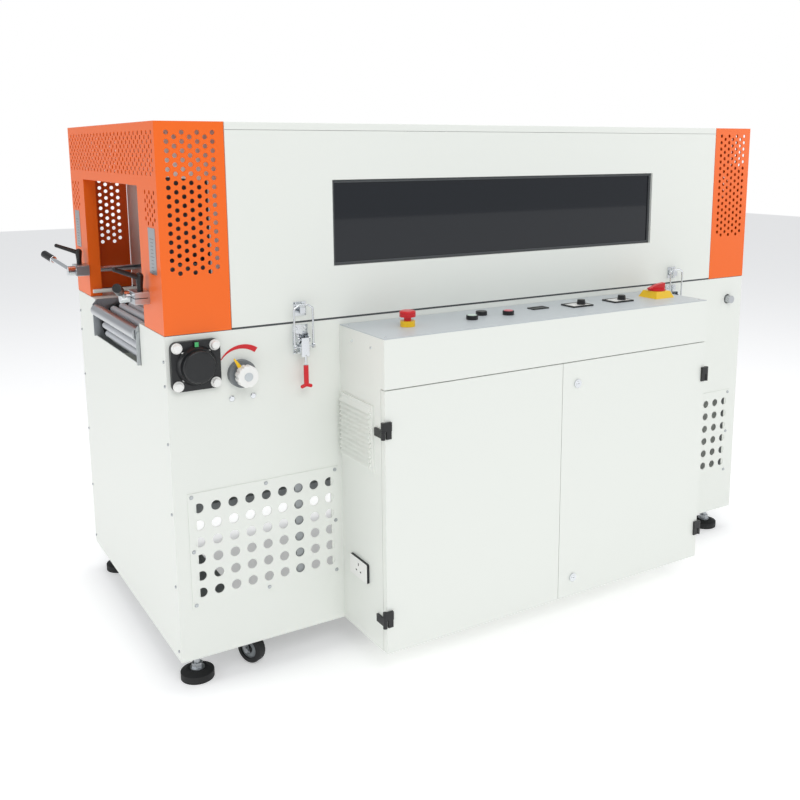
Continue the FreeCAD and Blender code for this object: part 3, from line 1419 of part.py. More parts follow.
def side_outlet():
    """Three-pin socket outlet on the cabinet's left side."""
    x = CAB_X0
    yc = CAB_Y + 132
    zc = Z_SKIN + 174
    plate = box(x - 7, x, yc - 45, yc + 45, zc - 25, zc + 25)
    plate = rounded(plate, 3, lambda e: abs(e.BoundBox.XLength - 7) < 1e-3)
    slots = [box(x - 8, x - 3, yc - 2, yc + 2, zc + 6, zc + 14)]
    for dy in (-11, 11):
        slots.append(box(x - 8, x - 3, yc + dy - 3, yc + dy + 3, zc - 9, zc - 5))
    return plate.cut(Part.Compound(slots))


def mounting_plate():
    """Galvanised plate in the cabinet on four spacers, with two mounting rails."""
    y = YF - CABINET_SHEET
    plate = box(CAB_X0 + 40, CAB_X1 - 40, y - 14, y - 12, Z_SKIN + 60, CONSOLE_Z - 60)
    spacers = []
    for x in (CAB_X0 + 70, CAB_X1 - 70):
        for z in (Z_SKIN + 90, CONSOLE_Z - 90):
            spacers.append(disc(V(x, y - 6, z), AY, 6, 12))
    rails = [box(CAB_X0 + 80, CAB_X1 - 80, y - 22, y - 14, z, z + 35) for z in (Z_SKIN + 180, Z_SKIN + 380)]
    return plate.fuse(spacers + rails).removeSplitter()


def switchgear():
    """Breakers, contactors and a converter clipped to the mounting rails."""
    y = YF - CABINET_SHEET - 22
    items = []
    for i in range(6):
        x = CAB_X0 + 110 + i * 38
        items.append(box(x, x + 36, y - 60, y, Z_SKIN + 360, Z_SKIN + 440))
    for i in range(4):
        x = CAB_X0 + 420 + i * 62
        items.append(box(x, x + 56, y - 76, y, Z_SKIN + 356, Z_SKIN + 444))
    items.append(box(CAB_X0 + 110, CAB_X0 + 300, y - 90, y, Z_SKIN + 130, Z_SKIN + 270))
    for i in range(14):
        x = CAB_X0 + 380 + i * 14
        items.append(box(x, x + 12, y - 40, y, Z_SKIN + 170, Z_SKIN + 224))
    return items


# ---------------------------------------------------------------- console devices
def device_origin(x, back):
    """Point on the console plate's upper face."""
    return V(x, CAB_Y + back, CAB_TOP)


def button_housing(at):
    """Round bezel on the plate with a threaded body below it."""
    bezel = Part.makeCylinder(15.2, 11, at)
    rim = [e for e in bezel.Edges if len(e.Vertexes) == 1 and e.CenterOfMass.z > at.z + 5]
    housing = bezel.makeFillet(1.2, rim).fuse(Part.makeCylinder(11, 35, at - AZ * 35))
    housing = housing.cut(Part.makeCylinder(12 + BORE_CLEARANCE, 20, at + AZ))
    return housing.cut(Part.makeCylinder(9 + BORE_CLEARANCE, 60, at - AZ * 27)).removeSplitter()


def push_button(at):
    """Flat push button with its stem."""
    cap = Part.makeCylinder(12, 7.5, at + AZ * 4.5)
    rim = [e for e in cap.Edges if len(e.Vertexes) == 1 and e.CenterOfMass.z > at.z + 11]
    return cap.makeFillet(1, rim).fuse(Part.makeCylinder(9, 24, at - AZ * 19.5)).removeSplitter()


def emergency_base(at):
    """Collar under the mushroom head, with its body below the plate."""
    collar = Part.makeCylinder(18.5, 14, at)
    body = Part.makeCylinder(11, 40, at - AZ * 40)
    bore = Part.makeCylinder(9 + BORE_CLEARANCE, 60, at - AZ * 26)
    return collar.fuse(body).cut(bore).removeSplitter()


def emergency_head(at):
    """Mushroom head with a grooved rim."""
    head = Part.makeCylinder(20, 15, at + AZ * 24)
    rims = [e for e in head.Edges if len(e.Vertexes) == 1 and e.CenterOfMass.z > at.z + 38]
    head = head.makeFillet(4, rims)
    groove = tube(at + AZ * 31, AZ, 22, 19.2, 1.6)
    neck = Part.makeCylinder(9, 44, at - AZ * 18)
    return head.cut(groove).fuse(neck).removeSplitter()


def signal_lamp(at):
    """Indicator lamp with a flat-topped lens."""
    lens = Part.makeCylinder(15, 11, at)
    rim = [e for e in lens.Edges if len(e.Vertexes) == 1 and e.CenterOfMass.z > at.z + 5]
    return lens.makeFillet(2, rim).fuse(Part.makeCylinder(11, 30, at - AZ * 30)).removeSplitter()


def panel_meter():
    """Small rectangular counter in the plate."""
    at = device_origin(METER_X, DEVICE_LINE + 32)
    bezel = box(at.x - 27, at.x + 27, at.y - 15, at.y + 15, at.z, at.z + 3)
    bezel = rounded(bezel, 2, upright)
    window = box(at.x - 20, at.x + 20, at.y - 9, at.y + 9, at.z + 2.2, at.z + 4)
    body = box(at.x - 22.5, at.x + 22.5, at.y - 11.5, at.y + 11.5, at.z - 40, at.z)
    return bezel.cut(window).fuse(body).removeSplitter()


def dial_plate(x):
    """Framed scale plate of a thermostat with its body below."""
    at = device_origin(x, DEVICE_LINE + 12)
    frame = box(at.x - 36, at.x + 36, at.y - 28, at.y + 28, at.z, at.z + 4)
    frame = rounded(frame, 2, upright)
    recess = box(at.x - 31, at.x + 31, at.y - 23, at.y + 23, at.z + 2.5, at.z + 5)
    spindle = at + AX * DIAL_OFFSET
    plate = frame.cut(recess).fuse(Part.makeCylinder(8, 30, spindle - AZ * 30))
    return plate.cut(Part.makeCylinder(3 + BORE_CLEARANCE, 60, spindle - AZ * 20)).removeSplitter()


def dial_knob(x):
    """Thermostat knob with an index nose."""
    at = device_origin(x + DIAL_OFFSET, DEVICE_LINE + 12)
    knob = Part.makeCone(12, 10.5, 13, at + AZ * 3)
    nose = box(at.x + 6, at.x + 14, at.y - 2, at.y + 2, at.z + 3, at.z + 9)
    stem = Part.makeCylinder(3, 20, at - AZ * 15)
    return knob.fuse([nose, stem]).removeSplitter()


def switch_base():
    """Yellow tapered base of the main switch."""
    at = device_origin(SWITCH_X, DEVICE_LINE + 8)
    low = rectangle(at + V(-36, -36, 0), AX, AY, 72, 72)
    high = rectangle(at + V(-27, -27, 19), AX, AY, 54, 54)
    base = Part.makeLoft([low, high], True)
    body = Part.makeCylinder(12, 50, at - AZ * 50)
    return base.fuse(body).cut(Part.makeCylinder(5 + BORE_CLEARANCE, 90, at - AZ * 40)).removeSplitter()


def switch_handle():
    """Red rotary grip: a round foot with a tapered finger bar."""
    at = device_origin(SWITCH_X, DEVICE_LINE + 8) + AZ * 19.4
    foot = Part.makeCylinder(25, 5, at)
    points = [V(at.x - 31, at.y, at.z + 5), V(at.x + 27, at.y, at.z + 5),
              V(at.x + 27, at.y, at.z + 21), V(at.x + 2, at.y, at.z + 18), V(at.x - 31, at.y, at.z + 8)]
    bar = Part.Face(Part.makePolygon(points + [points[0]])).extrude(AY * 14)
    bar.translate(V(0, -7, 0))
    stem = Part.makeCylinder(5, 50, at - AZ * 48)
    return foot.fuse([bar, stem]).removeSplitter()


# ---------------------------------------------------------------- pieces
front_skin, rear_skin = base_skins()
add("base_frame", *base_frame(), *rail_bearers(), *caster_bearers(), *foot_brackets())
add("base_front_skin", front_skin)
panels = [rear_skin, rear_service_cover()] + deck_plates()
for end in (-1, 1):
    lower_panel, cheek_plates = end_panels(end)
    panels.extend([lower_panel] + cheek_plates)
add("base_panels", *panels)
add("vent_panels", *[vent_panel(end) for end in (-1, 1)])
add("foot_pads", *foot_pads())
add("conveyor_frame", rail_plate(-1), rail_plate(1), *wear_strips(), *cross_bars(), *rail_bearings(),
    *[nose_pin(end) for end in (-1, 1)], *guide_rods())
add("conveyor_rods", *conveyor_rods())
add("conveyor_chains", *conveyor_chains())
add("drive_unit", drive_bracket(), variator_housing(), drive_motor())
add("front_fittings", flange_bearing(), bearing_cap(), *bearing_bolts(), *speed_flange(), speed_scale())
for name, end in (("guard_infeed", -1), ("guard_outfeed", 1)):
    add(name, *guard_sides(end), *guard_seats(end), guard_top(end), guard_header(end), *guard_jambs(end))
add("adjuster_blocks", *clamp_blocks(), *damper_bushes(), *angle_scales())
hinge_fixed, hinge_moving = hood_hinge_halves()
add("hood_hardware", *hinge_fixed, *[latch_base(side) for side in (-1, 1)])
add("cabinet_shell", *cabinet_plates())
add("console_box", console_box())
add("console_plate", console_plate(), *console_screws())
add("electrical_plate", mounting_plate(), *switchgear())

START_AT = device_origin(START_X, DEVICE_LINE - 8)
STOP_AT = device_origin(STOP_X, DEVICE_LINE - 2)
ESTOP_AT = device_origin(ESTOP_X, DEVICE_LINE)
add("console_devices", emergency_base(ESTOP_AT), button_housing(START_AT), button_housing(STOP_AT),
    signal_lamp(device_origin(LAMP_X, DEVICE_LINE + 32)), panel_meter(), *[dial_plate(x) for x in DIAL_X],
    switch_base())
add("estop_button", emergency_head(ESTOP_AT))
add("start_button", push_button(START_AT))
add("stop_button", push_button(STOP_AT))
for name, x in zip(("thermostat_knob_left", "thermostat_knob_right"), DIAL_X):
    add(name, dial_knob(x))
add("main_switch_handle", switch_handle())

add("hood_front", hood_front())
add("hood_shell", hood_rear(), hood_cover(), *hood_ends())
add("chamber_liner", *chamber_liner(), *window_tunnel(), *glass_stops())
add("window_glass", window_glass())
add("hood_seal", *hood_seal())
add("hood_fittings", *hinge_moving, *[latch_catch(side) for side in (-1, 1)])
add("fan_unit", fan_motor(), *heater_tubes(), *heater_racks())
add("fan_wheel", fan_wheel())

mounts = foot_studs()
for name, sx, sy in (("front_left", -1, -1), ("front_right", 1, -1), ("rear_left", -1, 1),
                     ("rear_right", 1, 1)):
    place = caster_place(sx, sy)
    heading = caster_heading(sx, sy)
    mounts.append(caster_plate(place))
    add("caster_fork_" + name, caster_fork(place, heading))
    add("caster_wheel_" + name, caster_wheel(place, heading))
add("foot_mounts", *mounts)

add("infeed_shaft", conveyor_shaft(-1, YF - 22))
add("outfeed_shaft", conveyor_shaft(1, YF - 18))
for name, end in (("infeed", -1), ("outfeed", 1)):
    add("nose_roller_" + name, nose_roller(end))
add("speed_knob", speed_knob(), speed_pointer())
hinge_posts = []
for name, sy in (("front", -1), ("rear", 1)):
    add("damper_" + name, damper_shaft(sy), damper_crank(sy), damper_grip(sy))
    add("clamp_lever_" + name, clamp_lever(sy))
for name, side in (("left", -1), ("right", 1)):
    add("latch_lever_" + name, latch_lever(side), latch_grip(side))
    add("latch_loop_" + name, latch_loop(side))
    posts, leaves = door_hinges(side)
    hinge_posts.extend(posts)
    housings = [lock_housing(z) for z in lock_levels()] if side > 0 else []
    add("cabinet_door_" + name, door(side), *leaves, *housings)
add("cabinet_fittings", cabinet_louvre(), side_outlet(), *hinge_posts)
for name, z in zip(("upper", "lower"), lock_levels()):
    add("cam_lock_" + name, lock_core(z))

# ---------------------------------------------------------------- origin and files
whole = FreeCAD.BoundBox()
for shape in nodes.values():
    whole.add(shape.optimalBoundingBox(False, False))
SHIFT = V(-(whole.XMin + whole.XMax) / 2, -(whole.YMin + whole.YMax) / 2, -whole.ZMin)
os.makedirs("parts", exist_ok=True)
for name, shape in nodes.items():
    shape.translate(SHIFT)
    shape.exportStep("parts/" + name + ".step")
print(len(nodes), "pieces", [round(v, 2) for v in (whole.XLength, whole.YLength, whole.ZLength)])
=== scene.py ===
"""Studio scene of a roller-conveyor heat-shrink tunnel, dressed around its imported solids.

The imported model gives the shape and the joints.  This script paints every node, adds the
small pieces that the solids leave out and sets up the studio.  Lengths are in metres in the
model's own frame: +X along the conveyor from infeed to outfeed, -Y towards the operator,
+Z up, and Z = 0 on the floor.
"""
import json
import logging
import math
from dataclasses import dataclass, field
from enum import Enum
from typing import Any, Dict, Iterable, List, Optional, Sequence, Tuple

import bmesh
import bpy
import numpy as np
from mathutils import Matrix, Vector


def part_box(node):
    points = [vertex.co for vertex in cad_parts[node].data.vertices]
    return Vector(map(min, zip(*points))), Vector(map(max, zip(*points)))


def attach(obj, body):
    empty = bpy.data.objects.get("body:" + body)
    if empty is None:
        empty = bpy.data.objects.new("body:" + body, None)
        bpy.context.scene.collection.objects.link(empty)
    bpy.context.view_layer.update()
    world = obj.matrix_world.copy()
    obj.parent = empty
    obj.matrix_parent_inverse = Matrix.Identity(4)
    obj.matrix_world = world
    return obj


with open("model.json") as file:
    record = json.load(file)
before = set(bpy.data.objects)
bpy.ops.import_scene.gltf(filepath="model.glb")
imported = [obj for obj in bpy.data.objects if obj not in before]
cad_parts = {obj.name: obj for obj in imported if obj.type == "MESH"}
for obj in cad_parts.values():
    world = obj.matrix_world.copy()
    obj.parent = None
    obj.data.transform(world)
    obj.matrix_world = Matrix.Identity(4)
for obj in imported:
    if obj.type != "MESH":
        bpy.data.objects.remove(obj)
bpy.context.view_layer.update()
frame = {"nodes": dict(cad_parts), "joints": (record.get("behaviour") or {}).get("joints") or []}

LOG = logging.getLogger("shrink_tunnel")
MM = 0.001
ON_AXIS = 1e-7
HAIR = 1e-5

Corner = Tuple[Optional[float], Optional[float], Optional[float]]


# ---------------------------------------------------------------- colour and finishes
def linear(hex_code: str) -> Tuple[float, float, float, float]:
    """Convert an sRGB hex colour to scene-linear RGBA.

    Args:
        hex_code: colour as "#RRGGBB".

    Returns:
        Linear red, green, blue and an alpha of one.
    """
    parts = [int(hex_code[i:i + 2], 16) / 255 for i in (1, 3, 5)]
    out = [c / 12.92 if c <= 0.04045 else ((c + 0.055) / 1.055) ** 2.4 for c in parts]
    return out[0], out[1], out[2], 1.0


class Surface(Enum):
    """How a finish is built."""

    POWDER = "powder coat"
    METAL = "bare metal"
    BRUSHED = "brushed metal"
    PLASTIC = "moulded plastic"
    RUBBER = "rubber"
    GLASS = "tempered glass"
    # A finish that glows a little of its own: painted light on a part that is no lamp.
    PAINTED_GLOW = "painted glow"


@dataclass(frozen=True)
class Finish:
    """One surface finish.

    Attributes:
        name: material name.
        colour: sRGB hex colour.
        surface: kind of surface.
        roughness: base roughness.
        grain_mm: size of the surface's fine grain.
        bump: strength of the grain.
        speckle: brightness variation of the grain, as a share.
    """

    name: str
    colour: str
    surface: Surface
    roughness: float = 0.45
    grain_mm: float = 0.8
    bump: float = 0.05
    speckle: float = 0.02


# Powder coats: an even satin skin whose faint orange peel softens every highlight.
CREAM = Finish("cream powder coat", "#E9ECE6", Surface.POWDER, 0.42)
CREAM_PLATE = Finish("console plate grey", "#C5CBCE", Surface.POWDER, 0.38)
ORANGE = Finish("orange powder coat", "#F76A0C", Surface.POWDER, 0.36)
# Primer and machine paint: duller coats that keep the inner frame in the background.
FRAME_GREY = Finish("frame primer", "#9EA2A4", Surface.POWDER, 0.6)
DARK_PAINT = Finish("dark machine paint", "#26282B", Surface.POWDER, 0.5)
# Painted sand castings: a coarser grain that breaks up the light.
CAST_BLACK = Finish("black cast housing", "#17191B", Surface.POWDER, 0.38, 1.6, 0.12)
CAST_GREY = Finish("grey cast housing", "#7D8285", Surface.POWDER, 0.5, 1.8, 0.15)
# Bare and plated metals, from a near mirror to the broad patches of galvanised sheet.
CHROME = Finish("polished chrome", "#DADDE0", Surface.METAL, 0.12)
ZINC = Finish("zinc plate", "#B9BDC0", Surface.METAL, 0.34, 1.2, 0.04, 0.06)
STEEL = Finish("ground steel", "#C2C5C8", Surface.BRUSHED, 0.3, 0.5, 0.03, 0.05)
GALVANISED = Finish("galvanised sheet", "#AEB3B7", Surface.METAL, 0.42, 9.0, 0.02, 0.12)
PIN_DARK = Finish("chain pin", "#4A4350", Surface.METAL, 0.45)
# Silicone sleeves and moulded plastics: soft, broad highlights on an even colour.
SLEEVE = Finish("silicone sleeve", "#C9CCD0", Surface.PLASTIC, 0.45)
BLACK = Finish("black plastic", "#141517", Surface.PLASTIC, 0.35)
WHITE = Finish("white plastic", "#EFEFEC", Surface.PLASTIC, 0.38)
RED = Finish("red plastic", "#D21420", Surface.PLASTIC, 0.3)
YELLOW = Finish("yellow plastic", "#F4C514", Surface.PLASTIC, 0.35)
PALE_GREEN = Finish("pale button", "#CFE3D6", Surface.PLASTIC, 0.3)
PINK = Finish("stop button", "#E06070", Surface.PLASTIC, 0.3)
INK = Finish("dark print", "#202226", Surface.PLASTIC, 0.5)
# A tinted green with a clear coat and a painted glow: a little emission makes the bearing's index
# mark shine, though it is no lamp.
GREEN = Finish("green mark with painted glow", "#2FA75A", Surface.PAINTED_GLOW, 0.25)
# Rubbers: dark and dull, with hardly a highlight.
RUBBER = Finish("black rubber", "#1B1C1D", Surface.RUBBER, 0.7)
SEAL = Finish("grey seal", "#4B4E50", Surface.RUBBER, 0.75)
# Smoked tempered glass: almost black, with sharp reflections.
GLASS = Finish("smoked glass", "#11161D", Surface.GLASS, 0.03)

GLASS_SPECULAR = 0.62
# Emission strength of the painted glow on the green index mark.
MARK_PAINTED_GLOW = 0.15
MARK_COAT = 0.6
BRUSH_STRETCH = 0.04
NOISE_DETAIL = 3.0


def socket(node: bpy.types.Node, name: str, out: bool = False) -> bpy.types.NodeSocket:
    """Find a node's socket by its identifier.

    Args:
        node: the node.
        name: identifier of the socket.
        out: True for an output.

    Returns:
        The socket.
    """
    pool = node.outputs if out else node.inputs
    return next(s for s in pool if s.identifier == name)


def add_node(tree: bpy.types.NodeTree, kind: str, values: Optional[Dict[str, Any]] = None,
             links: Optional[Dict[str, bpy.types.NodeSocket]] = None,
             **attributes: Any) -> bpy.types.Node:
    """Add a node with its settings and its incoming links.

    Args:
        tree: node tree that takes the node.
        kind: type name of the node.
        values: input values by the identifier of the socket.
        links: output sockets by the identifier of the input that each feeds.
        attributes: settings of the node itself, such as its operation.

    Returns:
        The new node.
    """
    node = tree.nodes.new(kind)
    for name, value in attributes.items():
        setattr(node, name, value)
    for name, value in (values or {}).items():
        socket(node, name).default_value = value
    for name, source in (links or {}).items():
        tree.links.new(source, socket(node, name))
    return node


def principled(name: str) -> Tuple[bpy.types.Material, bpy.types.Node]:
    """Make a node material.

    Args:
        name: name of the material.

    Returns:
        The material and its Principled shader node.
    """
    material = bpy.data.materials.new(name)
    material.use_nodes = True
    nodes = material.node_tree.nodes
    return material, next(n for n in nodes if n.bl_idname == "ShaderNodeBsdfPrincipled")


class FinishLibrary:
    """Builds each finish once and hands out its material."""

    def __init__(self) -> None:
        """Start with no material made."""
        self._made: Dict[str, bpy.types.Material] = {}

    def get(self, finish: Finish) -> bpy.types.Material:
        """Material of a finish.

        Args:
            finish: the finish to look up or build.

        Returns:
            The Blender material.
        """
        if finish.name not in self._made:
            self._made[finish.name] = self._build(finish)
        return self._made[finish.name]

    def _build(self, finish: Finish) -> bpy.types.Material:
        """Build the material of a finish.

        Args:
            finish: the finish to build.

        Returns:
            The new material.
        """
        material, shader = principled(finish.name)
        metal = finish.surface in (Surface.METAL, Surface.BRUSHED)
        shader.inputs["Base Color"].default_value = linear(finish.colour)
        shader.inputs["Roughness"].default_value = finish.roughness
        shader.inputs["Metallic"].default_value = 1.0 if metal else 0.0
        if finish.surface is Surface.GLASS:
            shader.inputs["Specular IOR Level"].default_value = GLASS_SPECULAR
            return material
        # Painted glow: a small emission lights the green index mark, which is no lamp.
        if finish.surface is Surface.PAINTED_GLOW:
            shader.inputs["Emission Color"].default_value = linear(finish.colour)
            shader.inputs["Emission Strength"].default_value = MARK_PAINTED_GLOW
            shader.inputs["Coat Weight"].default_value = MARK_COAT
            return material
        self._grain(material.node_tree, shader, finish)
        return material

    @staticmethod
    def _grain(tree: bpy.types.NodeTree, shader: bpy.types.Node, finish: Finish) -> None:
        """Give a material its fine grain, as a bump and a slight change of brightness.

        Args:
            tree: node tree of the material.
            shader: shader that takes the grain.
            finish: finish that sets the grain's size and strength.
        """
        stretch = BRUSH_STRETCH if finish.surface is Surface.BRUSHED else 1.0
        grain = finish.grain_mm * MM
        coords = add_node(tree, "ShaderNodeTexCoord")
        mapping = add_node(tree, "ShaderNodeMapping", {"Scale": (stretch, 1.0, 1.0)},
                           {"Vector": socket(coords, "Object", True)})
        noise = add_node(tree, "ShaderNodeTexNoise",
                         {"Scale": 1.0 / grain, "Detail": NOISE_DETAIL},
                         {"Vector": socket(mapping, "Vector", True)})
        height = socket(noise, "Fac", True)
        bump = add_node(tree, "ShaderNodeBump", {"Strength": finish.bump, "Distance": grain},
                        {"Height": height})
        ramp = add_node(tree, "ShaderNodeMapRange",
                        {"To Min": 1.0 - finish.speckle, "To Max": 1.0 + finish.speckle},
                        {"Value": height})
        tint = add_node(tree, "ShaderNodeMix",
                        {"Factor_Float": 1.0, "A_Color": linear(finish.colour)},
                        {"B_Color": socket(ramp, "Result", True)},
                        data_type="RGBA", blend_type="MULTIPLY")
        tree.links.new(socket(bump, "Normal", True), socket(shader, "Normal"))
        tree.links.new(socket(tint, "Result_Color", True), socket(shader, "Base Color"))


LIBRARY = FinishLibrary()


# ---------------------------------------------------------------- painting the nodes
@dataclass(frozen=True)
class Patch:
    """Faces of a node whose centres lie inside a box take a finish.

    Attributes:
        finish: finish of the faces.
        low: lowest corner, None where unbounded.
        high: highest corner, None where unbounded.
    """

    finish: Finish
    low: Corner = (None, None, None)
    high: Corner = (None, None, None)


def around(centre: Vector, reach: Sequence[float]) -> Tuple[Corner, Corner]:
    """Box round a point.

    Args:
        centre: middle of the box.
        reach: half sizes along X, Y and Z.

    Returns:
        Lowest and highest corner.
    """
    low = tuple(centre[i] - reach[i] for i in range(3))
    high = tuple(centre[i] + reach[i] for i in range(3))
    return low, high


def middle(node: str) -> Vector:
    """Middle of a node's box."""
    low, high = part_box(node)
    return (low + high) / 2


def joint_of(body: str) -> Dict[str, Any]:
    """Joint that carries a body.

    Args:
        body: name of the moving body.

    Returns:
        The joint's entry in the frame.
    """
    return next(j for j in frame["joints"] if j["child"] == body)


def paint(node: str, base: Finish, patches: Iterable[Patch] = ()) -> None:
    """Give a node its finishes.

    Args:
        node: name of the node.
        base: finish of all faces that no patch takes.
        patches: later patches win over earlier ones.
    """
    mesh = frame["nodes"][node].data
    mesh.materials.clear()
    mesh.materials.append(LIBRARY.get(base))
    count = len(mesh.polygons)
    centres = np.zeros(count * 3)
    mesh.polygons.foreach_get("center", centres)
    centres = centres.reshape(-1, 3)
    index = np.zeros(count, dtype=np.int32)
    names = [base.name]
    for patch in patches:
        inside = np.ones(count, dtype=bool)
        for axis in range(3):
            if patch.low[axis] is not None:
                inside &= centres[:, axis] >= patch.low[axis]
            if patch.high[axis] is not None:
                inside &= centres[:, axis] <= patch.high[axis]
        if patch.finish.name not in names:
            names.append(patch.finish.name)
            mesh.materials.append(LIBRARY.get(patch.finish))
        index[inside] = names.index(patch.finish.name)
    mesh.polygons.foreach_set("material_index", index)


# ---------------------------------------------------------------- mesh builders
class MeshBuilder:
    """Collects simple shapes into one mesh object with named finishes."""

    def __init__(self, name: str) -> None:
        """Start an empty mesh for an object of that name."""
        self.name = name
        self._bm = bmesh.new()
        self._finishes: List[Finish] = []

    def _slot(self, finish: Finish) -> int:
        """Material slot of a finish, added where it is new."""
        if finish not in self._finishes:
            self._finishes.append(finish)
        return self._finishes.index(finish)

    def _take(self, before: int, finish: Finish, smooth: bool) -> None:
        """Give the newest faces their finish.

        Args:
            before: number of faces that were there before.
            finish: finish of the new faces.
            smooth: True for a rounded shape.
        """
        self._bm.faces.ensure_lookup_table()
        slot = self._slot(finish)
        for face in self._bm.faces[before:]:
            face.material_index = slot
            face.smooth = smooth

    def block(self, low: Sequence[float], high: Sequence[float], finish: Finish) -> None:
        """Add a block.

        Args:
            low: lowest corner.
            high: highest corner.
            finish: finish of the faces.
        """
        before = len(self._bm.faces)
        centre = [(low[i] + high[i]) / 2 for i in range(3)]
        size = [high[i] - low[i] for i in range(3)]
        matrix = Matrix.Translation(centre) @ Matrix.Diagonal((*size, 1.0))
        bmesh.ops.create_cube(self._bm, size=1.0, matrix=matrix)
        self._take(before, finish, False)

    def turned(self, start: Vector, axis: Vector, outline: Sequence[Tuple[float, float]],
               finish: Finish, steps: int = 32) -> None:
        """Add a turned solid.

        Args:
            start: point on the axis where the outline's distance is zero.
            axis: direction of the axis.
            outline: pairs of radius and distance along the axis, from end to end.
            finish: finish of the faces.
            steps: segments round the axis.
        """
        before = len(self._bm.faces)
        axis = axis.normalized()
        side = axis.orthogonal().normalized()
        other = axis.cross(side)
        rings = []
        for radius, along in outline:
            centre = start + axis * along
            if radius < ON_AXIS:
                rings.append([self._bm.verts.new(centre)])
                continue
            ring = []
            for k in range(steps):
                turn = 2 * math.pi * k / steps
                way = side * math.cos(turn) + other * math.sin(turn)
                ring.append(self._bm.verts.new(centre + way * radius))
            rings.append(ring)
        for first, second in zip(rings, rings[1:]):
            for k in range(steps):
                n = (k + 1) % steps
                if len(first) == 1 and len(second) == 1:
                    continue
                if len(first) == 1:
                    self._bm.faces.new((first[0], second[n], second[k]))
                elif len(second) == 1:
                    self._bm.faces.new((first[k], first[n], second[0]))
                else:
                    self._bm.faces.new((first[k], first[n], second[n], second[k]))
        self._take(before, finish, True)

    def plate(self, outline: Sequence[Vector], thickness: Vector, finish: Finish) -> None:
        """Add a flat plate.

        Args:
            outline: corners of the plate, in order.
            thickness: vector from the first face to the second.
            finish: finish of the faces.
        """
        before = len(self._bm.faces)
        low = [self._bm.verts.new(p) for p in outline]
        high = [self._bm.verts.new(p + thickness) for p in outline]
        self._bm.faces.new(list(reversed(low)))
        self._bm.faces.new(high)
        for k in range(len(low)):
            n = (k + 1) % len(low)
            self._bm.faces.new((low[k], low[n], high[n], high[k]))
        self._take(before, finish, False)

    def finish(self, body: Optional[str], slot: str = "") -> bpy.types.Object:
        """Make the object, put it on a body and return it.

        Args:
            body: body that carries the piece, None for a studio piece.
            slot: material slot of the record that the piece follows; not used.

        Returns:
            The finished mesh object.
        """
        bmesh.ops.recalc_face_normals(self._bm, faces=self._bm.faces)
        mesh = bpy.data.meshes.new(self.name)
        self._bm.to_mesh(mesh)
        self._bm.free()
        for finish in self._finishes:
            mesh.materials.append(LIBRARY.get(finish))
        obj = bpy.data.objects.new(self.name, mesh)
        bpy.context.scene.collection.objects.link(obj)
        if body:
            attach(obj, body)
        return obj


# ---------------------------------------------------------------- repeats by geometry nodes
@dataclass
class ScatterField:
    """Round heads or marks set on points by a Geometry Nodes group.

    Attributes:
        name: name of the object made.
        points: places of the pieces.
        normal: direction that each piece stands out.
        radius: radius of a piece.
        height: how far a piece stands out.
        finish: finish of the pieces.
        sides: segments round a piece.
        dome: share of the radius kept at the top.
    """

    name: str
    points: Sequence[Vector]
    normal: Vector
    radius: float
    height: float
    finish: Finish
    sides: int = 20
    dome: float = 0.72

    def _group(self) -> bpy.types.NodeTree:
        """Build the node group that sets a head on every point."""
        tree = bpy.data.node_groups.new(self.name + " field", "GeometryNodeTree")
        face = tree.interface
        face.new_socket("Points", in_out="INPUT", socket_type="NodeSocketGeometry")
        for label, value in (("Radius", self.radius), ("Height", self.height)):
            item = face.new_socket(label, in_out="INPUT", socket_type="NodeSocketFloat")
            item.default_value = value
        face.new_socket("Pieces", in_out="OUTPUT", socket_type="NodeSocketGeometry")
        source = add_node(tree, "NodeGroupInput")
        radius = source.outputs["Radius"]
        top = add_node(tree, "ShaderNodeMath", {"Value_001": self.dome}, {"Value": radius},
                       operation="MULTIPLY")
        head = add_node(tree, "GeometryNodeMeshCone", {"Vertices": self.sides},
                        {"Radius Bottom": radius, "Radius Top": socket(top, "Value", True),
                         "Depth": source.outputs["Height"]})
        turn = Vector((0, 0, 1)).rotation_difference(self.normal).to_euler()
        place = add_node(tree, "GeometryNodeInstanceOnPoints", {"Rotation": turn},
                         {"Points": source.outputs["Points"],
                          "Instance": socket(head, "Mesh", True)})
        real = add_node(tree, "GeometryNodeRealizeInstances", {},
                        {"Geometry": socket(place, "Instances", True)})
        look = add_node(tree, "GeometryNodeSetMaterial",
                        {"Material": LIBRARY.get(self.finish)},
                        {"Geometry": socket(real, "Geometry", True)})
        sink = add_node(tree, "NodeGroupOutput")
        tree.links.new(socket(look, "Geometry", True), sink.inputs["Pieces"])
        return tree

    def build(self, body: str, slot: str = "") -> bpy.types.Object:
        """Make the pieces as one mesh riding on a body.

        Args:
            body: body that carries the pieces.
            slot: material slot of the record that they follow; not used.

        Returns:
            The finished mesh object.
        """
        mesh = bpy.data.meshes.new(self.name + " points")
        mesh.from_pydata([tuple(p) for p in self.points], [], [])
        seed = bpy.data.objects.new(self.name + " seed", mesh)
        bpy.context.scene.collection.objects.link(seed)
        modifier = seed.modifiers.new("field", "NODES")
        modifier.node_group = self._group()
        graph = bpy.context.evaluated_depsgraph_get()
        made = bpy.data.meshes.new_from_object(seed.evaluated_get(graph), depsgraph=graph)
        made.name = self.name
        if not made.materials:
            made.materials.append(LIBRARY.get(self.finish))
        bpy.data.objects.remove(seed)
        obj = bpy.data.objects.new(self.name, made)
        bpy.context.scene.collection.objects.link(obj)
        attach(obj, body)
        return obj


